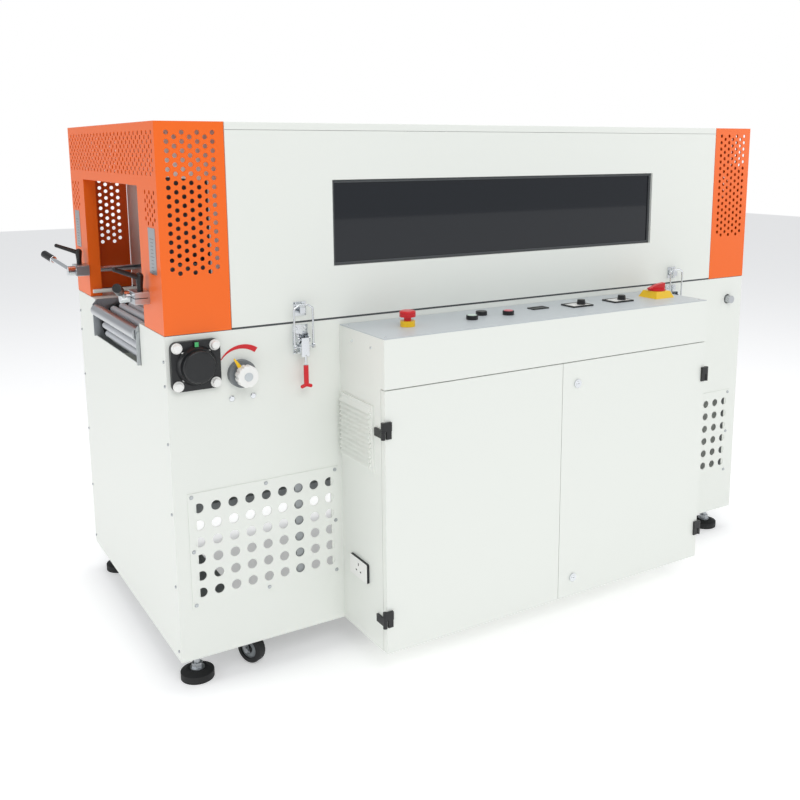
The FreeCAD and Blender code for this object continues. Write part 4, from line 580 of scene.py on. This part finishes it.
def around_edge(low: Vector, high: Vector, inset: float, across: int, up: int) -> List[Vector]:
    """Points near the edge of an upright panel that faces -Y.

    Args:
        low: lowest corner of the panel.
        high: highest corner.
        inset: distance from the edges.
        across: points along the top and the bottom.
        up: points along each side.

    Returns:
        The points on the panel's front face.
    """
    points = []
    for i in range(across):
        x = low.x + inset + (high.x - low.x - 2 * inset) * i / (across - 1)
        points.extend([Vector((x, low.y, low.z + inset)), Vector((x, low.y, high.z - inset))])
    for k in range(1, up - 1):
        z = low.z + inset + (high.z - low.z - 2 * inset) * k / (up - 1)
        points.extend([Vector((low.x + inset, low.y, z)), Vector((high.x - inset, low.y, z))])
    return points


# ---------------------------------------------------------------- sub-assemblies
@dataclass
class BaseCabinet:
    """Lower body of the machine: skins, vents, feet and casters.

    Attributes:
        screw_radius: radius of the panel screws.
        screw_height: height of the panel screws.
        vent_length: length of a vent panel.
        vent_inset: screws to the vent panels' edges.
        vent_screws: screws along each edge of a vent panel.
        end_inset_front: end panel screws to the front edge.
        end_inset_rear: end panel screws to the rear edge.
        end_drop: top end panel screws below the upper edge.
        end_rises: end panel screws above the lower edge.
        hub_bore: inner radius of a caster's hub cap.
        hub_radius: outer radius of the hub cap.
        hub_thickness: thickness of the hub cap.
        hub_offset: hub cap from the middle of the wheel.
    """

    screw_radius: float = 5.0 * MM
    screw_height: float = 2.6 * MM
    vent_length: float = 389.0 * MM
    vent_inset: float = 9.0 * MM
    vent_screws: int = 3
    end_inset_front: float = 12.0 * MM
    end_inset_rear: float = 14.0 * MM
    end_drop: float = 60.0 * MM
    end_rises: Tuple[float, ...] = (24.0, 190.0, 370.0, 540.0, 677.0)
    hub_bore: float = 11.0 * MM
    hub_radius: float = 24.6 * MM
    hub_thickness: float = 0.7 * MM
    hub_offset: float = 9.4 * MM

    def dress(self) -> None:
        """Paint the nodes and add the screws and the hub caps."""
        paint("base_frame", FRAME_GREY)
        for node in ("base_front_skin", "base_panels", "vent_panels"):
            paint(node, CREAM)
        paint("foot_pads", RUBBER)
        paint("foot_mounts", ZINC)
        self._vent_screws()
        self._end_screws()
        for corner in ("front_left", "front_right", "rear_left", "rear_right"):
            self._caster(corner)

    def _vent_screws(self) -> None:
        """Set screws round both vent panels."""
        low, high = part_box("vent_panels")
        points = []
        for start in (low.x, high.x - self.vent_length):
            corner = Vector((start, low.y, low.z))
            far = Vector((start + self.vent_length, high.y, high.z))
            count = self.vent_screws
            points.extend(around_edge(corner, far, self.vent_inset, count, count))
        ScatterField("vent_panel_screws", points, Vector((0, -1, 0)), self.screw_radius,
                     self.screw_height, ZINC).build("machine")

    def _end_screws(self) -> None:
        """Set screws along the upright edges of both end panels."""
        low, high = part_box("base_panels")
        for side, x, way in (("infeed", low.x, -1), ("outfeed", high.x, 1)):
            points = []
            for y in (low.y + self.end_inset_front, high.y - self.end_inset_rear):
                points.extend(Vector((x, y, low.z + rise * MM)) for rise in self.end_rises)
                points.append(Vector((x, y, high.z - self.end_drop)))
            ScatterField("end_panel_screws_" + side, points, Vector((way, 0, 0)),
                         self.screw_radius * 0.8, self.screw_height, ZINC).build("machine")

    def _caster(self, corner: str) -> None:
        """Paint a caster and cap its hub on both sides."""
        wheel = "caster_wheel_" + corner
        paint("caster_fork_" + corner, ZINC)
        paint(wheel, RUBBER)
        joint = joint_of(wheel)
        centre = Vector(joint["pos_m"])
        axis = Vector(joint["axis"])
        ring = [(self.hub_bore, 0.0), (self.hub_radius, 0.0),
                (self.hub_radius, self.hub_thickness), (self.hub_bore, self.hub_thickness)]
        builder = MeshBuilder("caster_hub_" + corner)
        for side in (-1, 1):
            start = centre + axis * (side * self.hub_offset)
            builder.turned(start, axis * side, ring, CAST_GREY, 36)
        builder.finish(wheel)


@dataclass
class Conveyor:
    """Rod carpet, rails, shafts and nose rollers.

    Attributes:
        sleeve_half: half length of a rod's sleeve.
        rail_depth: depth of the painted side plates.
    """

    sleeve_half: float = 190.0 * MM
    rail_depth: float = 22.0 * MM

    def dress(self) -> None:
        """Paint the nodes."""
        centre = middle("conveyor_rods")
        reach = self.sleeve_half + HAIR
        paint("conveyor_rods", SLEEVE, [Patch(PIN_DARK, high=(None, centre.y - reach, None)),
                                        Patch(PIN_DARK, low=(None, centre.y + reach, None))])
        paint("conveyor_chains", DARK_PAINT)
        low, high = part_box("conveyor_frame")
        front, rear = low.y + self.rail_depth, high.y - self.rail_depth
        paint("conveyor_frame", ZINC, [Patch(CREAM, high=(None, front, None)),
                                       Patch(CREAM, low=(None, rear, None))])
        for node in ("infeed_shaft", "outfeed_shaft", "nose_roller_infeed", "nose_roller_outfeed"):
            paint(node, STEEL)
        paint("drive_unit", CAST_GREY)


@dataclass
class InfeedControls:
    """Bearing, speed knob, scale and pointer on the front face.

    Attributes:
        bearing_half: half size of the flanged bearing.
        bolt_pitch_half: half distance between the bearing's bolts.
        bolt_half: half size of a bolt's cap.
        cap_depth: cap fronts from the panel.
        flange_half: half size of the knob's flange.
        depth: how far the paint boxes reach from the panel.
        scale_sheet: thickness of the speed scale.
        scale_half: half width of the speed scale.
        scale_low: lower edge of the scale above the knob.
        scale_high: upper edge of the scale above the knob.
        screw_drop: ringed screws below the knob.
        mark_half: half size of the bearing's index mark.
    """

    bearing_half: float = 58.5 * MM
    bolt_pitch_half: float = 44.0 * MM
    bolt_half: float = 12.9 * MM
    cap_depth: float = 13.2 * MM
    flange_half: float = 33.5 * MM
    depth: float = 60.0 * MM
    scale_sheet: float = 0.9 * MM
    scale_half: float = 60.0 * MM
    scale_low: float = 33.6 * MM
    scale_high: float = 75.0 * MM
    screw_drop: float = 59.0 * MM
    mark_half: Tuple[float, float] = (4.4 * MM, 5.4 * MM)

    def dress(self) -> None:
        """Paint the front fittings and add their marks."""
        shaft, knob = joint_of("infeed_shaft")["pos_m"], joint_of("speed_knob")["pos_m"]
        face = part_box("front_fittings")[1].y
        bearing = Vector((shaft[0], face, shaft[2]))
        control = Vector((knob[0], face, knob[2]))
        depth, size, flange = self.depth, self.bearing_half, self.flange_half
        patches = [Patch(CAST_BLACK, *around(bearing, (size, depth, size))),
                   Patch(CAST_GREY, *around(control, (flange, depth, flange)))]
        pitch, cap = self.bolt_pitch_half, self.bolt_half
        for dx in (-pitch, pitch):
            for dz in (-pitch, pitch):
                at = bearing + Vector((dx, 0, dz))
                first, last = around(at, (cap, depth, cap))
                patches.append(Patch(WHITE, first, (last[0], face - self.cap_depth, last[2])))
        left, right = control.x - self.scale_half, control.x + self.scale_half
        patches.append(Patch(RED, (left, face - self.scale_sheet, control.z + self.scale_low),
                             (right, face + HAIR, control.z + self.scale_high)))
        screw_z = control.z - self.screw_drop
        patches.append(Patch(CHROME, (control.x - 40 * MM, face - 10 * MM, screw_z - 10 * MM),
                             (control.x + 50 * MM, face - HAIR, screw_z + 10 * MM)))
        paint("front_fittings", CHROME, patches)
        self._knob(control, face)
        self._index(bearing, face)

    def _knob(self, control: Vector, face: float) -> None:
        """Paint the speed knob and set the disc in its front.

        Args:
            control: centre of the knob on the panel.
            face: Y of the panel.
        """
        stem = Patch(STEEL, low=(None, face - 24 * MM, None))
        pointer = Patch(YELLOW, (None, face - 32.2 * MM, None), (None, face - 30.3 * MM, None))
        cap = Patch(WHITE, high=(None, face - 32.3 * MM, None))
        paint("speed_knob", WHITE, [stem, pointer, cap])
        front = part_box("speed_knob")[0].y + 0.1 * MM
        builder = MeshBuilder("speed_knob_cap")
        outline = [(0.0, -1.4 * MM), (9 * MM, -1.4 * MM), (10.5 * MM, -0.6 * MM),
                   (10.5 * MM, 0.4 * MM)]
        builder.turned(Vector((control.x, front, control.z)), Vector((0, 1, 0)), outline,
                       CREAM_PLATE, 36)
        builder.finish("speed_knob")

    def _index(self, bearing: Vector, face: float) -> None:
        """Set the green index mark on the bearing's upper edge; its finish carries a small painted
        glow.

        Args:
            bearing: centre of the bearing on the panel.
            face: Y of the panel.
        """
        across, up = self.mark_half
        at = Vector((bearing.x, face - 20.4 * MM, bearing.z + 50 * MM))
        builder = MeshBuilder("bearing_index")
        builder.block(at - Vector((across, 0.5 * MM, up)), at + Vector((across, 0.3 * MM, up)),
                      GREEN)
        builder.finish("machine")


@dataclass
class EndGuards:
    """Perforated orange guards with their adjusters.

    Attributes:
        seam_height: height of the seal strip under a guard.
        scale_rise: angle scales above the adjuster blocks' lower side.
        scale_reach: angle scales from the middle of the guard.
        mark_count: marks on an angle scale.
        mark_start: lowest mark above the scale's lower edge.
        mark_pitch: distance between marks.
        long_half: half length of every fifth mark.
        short_half: half length of the other marks.
        grip_start: black grip from the damper's pivot.
    """

    seam_height: float = 1.4 * MM
    scale_rise: float = 62.0 * MM
    scale_reach: float = 374.0 * MM
    mark_count: int = 11
    mark_start: float = 12.0 * MM
    mark_pitch: float = 8.0 * MM
    long_half: float = 15.0 * MM
    short_half: float = 9.0 * MM
    grip_start: float = 84.0 * MM

    def dress(self) -> None:
        """Paint the guards, the damper handles and the clamp levers."""
        for node in ("guard_infeed", "guard_outfeed"):
            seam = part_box(node)[0].z + self.seam_height
            paint(node, ORANGE, [Patch(SEAL, high=(None, None, seam))])
        scale_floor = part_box("adjuster_blocks")[0].z + self.scale_rise
        paint("adjuster_blocks", STEEL, [Patch(ZINC, low=(None, None, scale_floor))])
        self._scale_marks(scale_floor)
        for name in ("front", "rear"):
            self._handle("damper_" + name)
            paint("clamp_lever_" + name, BLACK)

    def _handle(self, node: str) -> None:
        """Paint a damper: its blade, its crank and the grip at its outer end."""
        x, y, z = joint_of(node)["pos_m"]
        if node.endswith("front"):
            grip = Patch(BLACK, high=(x, y - self.grip_start, None))
        else:
            grip = Patch(BLACK, (None, y + self.grip_start, None), (x, None, None))
        blade = Patch(GALVANISED, (x + 100 * MM, None, None), (None, None, z - 8.1 * MM))
        paint(node, CHROME, [blade, grip])

    def _scale_marks(self, floor: float) -> None:
        """Draw the marks on both angle scales.

        Args:
            floor: height of the scales' lower edge.
        """
        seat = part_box("guard_infeed")[0].x - 1.05 * MM
        centre = middle("guard_infeed").y
        builder = MeshBuilder("angle_scale_marks")
        for side in (-1, 1):
            y = centre + side * self.scale_reach
            for k in range(self.mark_count):
                z = floor + self.mark_start + k * self.mark_pitch
                half = self.long_half if k % 5 == 0 else self.short_half
                builder.block(Vector((seat - 0.1 * MM, y - half, z - 0.4 * MM)),
                              Vector((seat + 0.04 * MM, y + half, z + 0.4 * MM)), INK)
        builder.finish("machine")


@dataclass
class Hood:
    """Lifting hood with its window and seal.

    Attributes:
        gasket_width: width of the gasket round the pane.
        gasket_depth: thickness of the gasket.
        gasket_inset: gasket from the pane's edge.
        reveal_margin: reveal's paint past the pane's edge.
        reveal_depth: depth of the reveal behind the skin.
        grip_length: length of a latch's red grip.
    """

    gasket_width: float = 7.0 * MM
    gasket_depth: float = 3.2 * MM
    gasket_inset: float = 0.3 * MM
    reveal_margin: float = 3.0 * MM
    reveal_depth: float = 75.0 * MM
    grip_length: float = 54.0 * MM

    def dress(self) -> None:
        """Paint the hood's nodes and trim the window."""
        low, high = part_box("window_glass")
        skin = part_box("hood_front")[0].y
        margin = self.reveal_margin
        reveal = Patch(CREAM, (low.x - margin, skin, low.z - margin),
                       (high.x + margin, skin + self.reveal_depth, high.z + margin))
        paint("hood_front", CREAM)
        paint("hood_shell", CREAM)
        paint("chamber_liner", GALVANISED, [reveal])
        paint("window_glass", GLASS)
        paint("hood_seal", SEAL)
        paint("hood_fittings", CHROME)
        paint("hood_hardware", CHROME)
        paint("fan_unit", DARK_PAINT)
        paint("fan_wheel", GALVANISED)
        for side in ("left", "right"):
            grip_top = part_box("latch_lever_" + side)[0].z + self.grip_length
            paint("latch_lever_" + side, CHROME, [Patch(RED, high=(None, None, grip_top))])
            paint("latch_loop_" + side, CHROME)
        self._gasket(low, high)

    def _gasket(self, low: Vector, high: Vector) -> None:
        """Frame the pane with its gasket.

        Args:
            low: lowest corner of the pane.
            high: highest corner of the pane.
        """
        width, inset = self.gasket_width, self.gasket_inset
        y0, y1 = low.y - self.gasket_depth, low.y - 0.05 * MM
        x0, x1, z0, z1 = low.x + inset, high.x - inset, low.z + inset, high.z - inset
        builder = MeshBuilder("window_gasket")
        builder.block((x0, y0, z0), (x1, y1, z0 + width), SEAL)
        builder.block((x0, y0, z1 - width), (x1, y1, z1), SEAL)
        builder.block((x0, y0, z0 + width), (x0 + width, y1, z1 - width), SEAL)
        builder.block((x1 - width, y0, z0 + width), (x1, y1, z1 - width), SEAL)
        builder.finish("hood")


@dataclass
class ControlCabinet:
    """Cabinet, console and its devices.

    Attributes:
        plate_edge: thickness of the console plate.
        screw_level: console screws below the plate's top.
        wall_fittings: side fittings behind the cabinet's front.
        outlet_height: top of the outlet above the cabinet's floor.
        hinge_depth: depth of a door's hinge halves.
        lock_half: half size of a lock's rosette.
        lock_drop: rosette's centre below the cam's top.
        dial_level: dial plates above the console.
        dial_offset: a dial plate's middle from its knob.
        ticks: number of tick marks.
        tick_inner: inner radius of the tick marks.
        tick_outer: outer radius of the tick marks.
        tick_sweep: half angle of the tick marks, in degrees.
    """

    plate_edge: float = 1.5 * MM
    screw_level: float = 20.0 * MM
    wall_fittings: float = 58.0 * MM
    outlet_height: float = 300.0 * MM
    hinge_depth: float = 6.95 * MM
    lock_half: float = 11.8 * MM
    lock_drop: float = 7.0 * MM
    dial_level: float = 2.5 * MM
    dial_offset: float = 15.0 * MM
    ticks: int = 13
    tick_inner: float = 15.5 * MM
    tick_outer: float = 17.015 * MM
    tick_sweep: float = 150.0

    def dress(self) -> None:
        """Paint the cabinet and the console and add the devices' marks."""
        paint("cabinet_shell", CREAM)
        paint("console_box", CREAM)
        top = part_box("console_plate")[1].z
        paint("console_plate", CREAM_PLATE, [
            Patch(CHROME, low=(None, None, top - self.plate_edge)),
            Patch(CHROME, high=(None, None, top - self.screw_level))])
        paint("electrical_plate", GALVANISED)
        self._fittings()
        self._doors()
        self._devices(top - 1.6 * MM)

    def _fittings(self) -> None:
        """Paint the louvre and the outlet on the cabinet's side, and its hinge blocks."""
        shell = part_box("cabinet_shell")[0]
        wall, split = shell.x, shell.z + self.outlet_height
        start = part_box("cabinet_door_left")[0].y + self.wall_fittings
        louvre = Patch(CREAM, (None, start, split), (wall + 0.1 * MM, None, None))
        outlet = Patch(WHITE, (None, start, None), (wall + 0.1 * MM, None, split))
        slots = Patch(INK, (wall - 6.9 * MM, start + 1 * MM, None), (wall - 2 * MM, None, split))
        paint("cabinet_fittings", BLACK, [louvre, outlet, slots])

    def _doors(self) -> None:
        """Paint the doors with their hinge halves and the locks."""
        for side in ("left", "right"):
            node = "cabinet_door_" + side
            low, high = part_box(node)
            patches = [Patch(BLACK, high=(None, low.y + self.hinge_depth, None))]
            if side == "left":
                knuckle = (low.x - 1 * MM, low.x + 10.8 * MM)
            else:
                knuckle = (high.x - 12 * MM, high.x + 1 * MM)
                patches.extend(self._lock(name, low.y) for name in ("upper", "lower"))
            patches.append(Patch(BLACK, (knuckle[0], None, None), (knuckle[1], None, None)))
            paint(node, CREAM, patches)

    def _lock(self, name: str, front: float) -> Patch:
        """Paint a cam lock and make the patch of its rosette on the door.

        Args:
            name: "upper" or "lower".
            front: Y of the door's foremost point.

        Returns:
            The chrome patch of the rosette.
        """
        node = "cam_lock_" + name
        paint(node, CHROME)
        at = Vector((middle(node).x, front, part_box(node)[1].z - self.lock_drop))
        return Patch(CHROME, *around(at, (self.lock_half, 50 * MM, self.lock_half)))

    def _devices(self, top: float) -> None:
        """Paint the console's devices.

        Args:
            top: height of the console's surface.
        """
        estop, switch = middle("estop_button"), middle("main_switch_handle")
        collar = Vector((estop.x, estop.y, top))
        base = Vector((switch.x, switch.y, top))
        patches = [Patch(YELLOW, *around(collar, (20 * MM, 20 * MM, 30 * MM))),
                   Patch(YELLOW, *around(base, (40 * MM, 40 * MM, 30 * MM)))]
        level = top + self.dial_level
        for side in ("left", "right"):
            knob = middle("thermostat_knob_" + side)
            plate = Vector((knob.x - self.dial_offset, knob.y, level))
            patches.append(Patch(WHITE, *around(plate, (31.2 * MM, 23.2 * MM, 0.6 * MM))))
        paint("console_devices", BLACK, patches)
        paint("estop_button", RED)
        paint("start_button", PALE_GREEN)
        paint("stop_button", PINK)
        paint("main_switch_handle", RED)
        for side in ("left", "right"):
            paint("thermostat_knob_" + side, BLACK)
            self._dial(side, level)

    def _dial(self, side: str, level: float) -> None:
        """Draw the ticks round a thermostat knob.

        Args:
            side: "left" or "right".
            level: height of the dial plate's surface.
        """
        x, y, _ = joint_of("thermostat_knob_" + side)["pos_m"]
        centre = Vector((x, y, level))
        builder = MeshBuilder("thermostat_ticks_" + side)
        for k in range(self.ticks):
            turn = math.radians(self.tick_sweep * (2 * k / (self.ticks - 1) - 1))
            way = Vector((math.cos(turn), math.sin(turn), 0))
            half = Vector((-way.y, way.x, 0)) * 0.3 * MM
            inner, outer = centre + way * self.tick_inner, centre + way * self.tick_outer
            corners = [inner - half, outer - half, outer + half, inner + half]
            builder.plate(corners, Vector((0, 0, 0.15 * MM)), INK)
        builder.finish("machine")


# ---------------------------------------------------------------- studio
@dataclass(frozen=True)
class CameraPose:
    """Camera of the main view.

    Attributes:
        place: position.
        heading: direction of view about +Z, in degrees from +X.
        pitch: direction of view above the horizon, in degrees.
        roll: turn about the direction of view, in degrees.
        lens: focal length in millimetres on the sensor.
        sensor: width of the sensor in millimetres.
        shift: shift of the picture along its width and height.
        clip: nearest and farthest distance seen.
    """

    place: Tuple[float, float, float] = (-1.5151, -2.4066, 1.2888)
    heading: float = 57.783
    pitch: float = -10.468
    roll: float = -0.098
    lens: float = 42.828
    sensor: float = 36.0
    shift: Tuple[float, float] = (-0.04226, -0.09510)
    clip: Tuple[float, float] = (0.05, 100.0)

    def matrix(self) -> Matrix:
        """Placement of a camera, which looks along its own -Z."""
        turn = Matrix.Rotation(math.radians(self.heading - 90), 4, "Z")
        turn = turn @ Matrix.Rotation(math.radians(self.pitch + 90), 4, "X")
        turn = turn @ Matrix.Rotation(math.radians(self.roll), 4, "Z")
        return Matrix.Translation(self.place) @ turn


@dataclass(frozen=True)
class Softbox:
    """Rectangular soft light aimed at the middle of the machine.

    Attributes:
        name: name of the light.
        place: position.
        size: width and height.
        power: power in watts.
    """

    name: str
    place: Tuple[float, float, float]
    size: Tuple[float, float]
    power: float


@dataclass
class Studio:
    """Pale floor, white surroundings, soft lights and the camera.

    Attributes:
        camera: pose of the main camera.
        softboxes: the lights.
        aim_height: height that the lights point at.
        room_strength: light that comes from all round.
        floor_half: half size of the floor.
        floor_drop: floor below the feet.
        floor_glow: light that the floor adds of its own.
    """

    camera: CameraPose = field(default_factory=CameraPose)
    softboxes: Tuple[Softbox, ...] = (
        Softbox("key softbox", (-1.2, -4.6, 4.2), (3.0, 2.4), 78),
        Softbox("top softbox", (0.2, 0.3, 4.4), (3.6, 2.6), 70),
        Softbox("left fill", (-4.6, 0.6, 1.9), (2.4, 2.4), 34),
        Softbox("right fill", (4.2, -2.6, 2.0), (1.6, 2.4), 22),
    )
    aim_height: float = 0.7
    room_strength: float = 0.55
    floor_half: float = 14.0
    floor_drop: float = 0.5 * MM
    floor_glow: float = 0.32

    def build(self) -> None:
        """Make the studio."""
        self._world()
        self._floor()
        for softbox in self.softboxes:
            self._light(softbox)
        self._camera()
        scene = bpy.context.scene
        scene.view_settings.view_transform = "Standard"
        scene.view_settings.look = "None"

    def _world(self) -> None:
        """Show plain white to the camera and light the room a little less."""
        world = bpy.data.worlds.new("studio")
        bpy.context.scene.world = world
        world.use_nodes = True
        tree = world.node_tree
        tree.nodes.clear()
        seen = add_node(tree, "ShaderNodeBackground", {"Color": (1, 1, 1, 1), "Strength": 1.0})
        room = add_node(tree, "ShaderNodeBackground",
                        {"Color": linear("#F2F4F7"), "Strength": self.room_strength})
        path = add_node(tree, "ShaderNodeLightPath")
        either = add_node(tree, "ShaderNodeMath", {},
                          {"Value": path.outputs["Is Camera Ray"],
                           "Value_001": path.outputs["Is Transmission Ray"]},
                          operation="MAXIMUM")
        mix = add_node(tree, "ShaderNodeMixShader")
        for slot, source in enumerate((either, room, seen)):
            tree.links.new(source.outputs[0], mix.inputs[slot])
        add_node(tree, "ShaderNodeOutputWorld", {}, {"Surface": mix.outputs[0]})

    def _floor(self) -> None:
        """Lay the pale matt floor."""
        mesh = bpy.data.meshes.new("studio_floor")
        h = self.floor_half
        mesh.from_pydata([(-h, -h, 0), (h, -h, 0), (h, h, 0), (-h, h, 0)], [], [(0, 1, 2, 3)])
        material, shader = principled("studio floor")
        for name, value in (("Base Color", (0.9, 0.9, 0.9, 1)), ("Roughness", 0.9),
                            ("Specular IOR Level", 0.1), ("Emission Color", (1, 1, 1, 1)),
                            ("Emission Strength", self.floor_glow)):
            shader.inputs[name].default_value = value
        mesh.materials.append(material)
        floor = bpy.data.objects.new("studio_floor", mesh)
        floor.location.z = -self.floor_drop
        bpy.context.scene.collection.objects.link(floor)

    def _light(self, softbox: Softbox) -> None:
        """Hang one light and aim it at the machine."""
        light = bpy.data.lights.new(softbox.name, "AREA")
        light.shape = "RECTANGLE"
        light.size, light.size_y = softbox.size
        light.energy = softbox.power
        lamp = bpy.data.objects.new(softbox.name, light)
        place = Vector(softbox.place)
        target = Vector((0, 0, self.aim_height))
        lamp.location = place
        lamp.rotation_mode = "QUATERNION"
        lamp.rotation_quaternion = (target - place).to_track_quat("-Z", "Y")
        bpy.context.scene.collection.objects.link(lamp)

    def _camera(self) -> None:
        """Place the main camera."""
        data = bpy.data.cameras.new("camera")
        data.sensor_width = self.camera.sensor
        data.lens = self.camera.lens
        data.shift_x, data.shift_y = self.camera.shift
        data.clip_start, data.clip_end = self.camera.clip
        obj = bpy.data.objects.new("camera", data)
        obj.matrix_world = self.camera.matrix()
        bpy.context.scene.collection.objects.link(obj)
        bpy.context.scene.camera = obj


def main() -> None:
    """Dress every sub-assembly, build the studio and finish the frame."""
    logging.basicConfig(level=logging.INFO)
    for assembly in (BaseCabinet(), Conveyor(), InfeedControls(), EndGuards(), Hood(),
                     ControlCabinet()):
        LOG.info("dressing %s", type(assembly).__name__)
        assembly.dress()
    Studio().build()


if __name__ == "__main__":
    main()
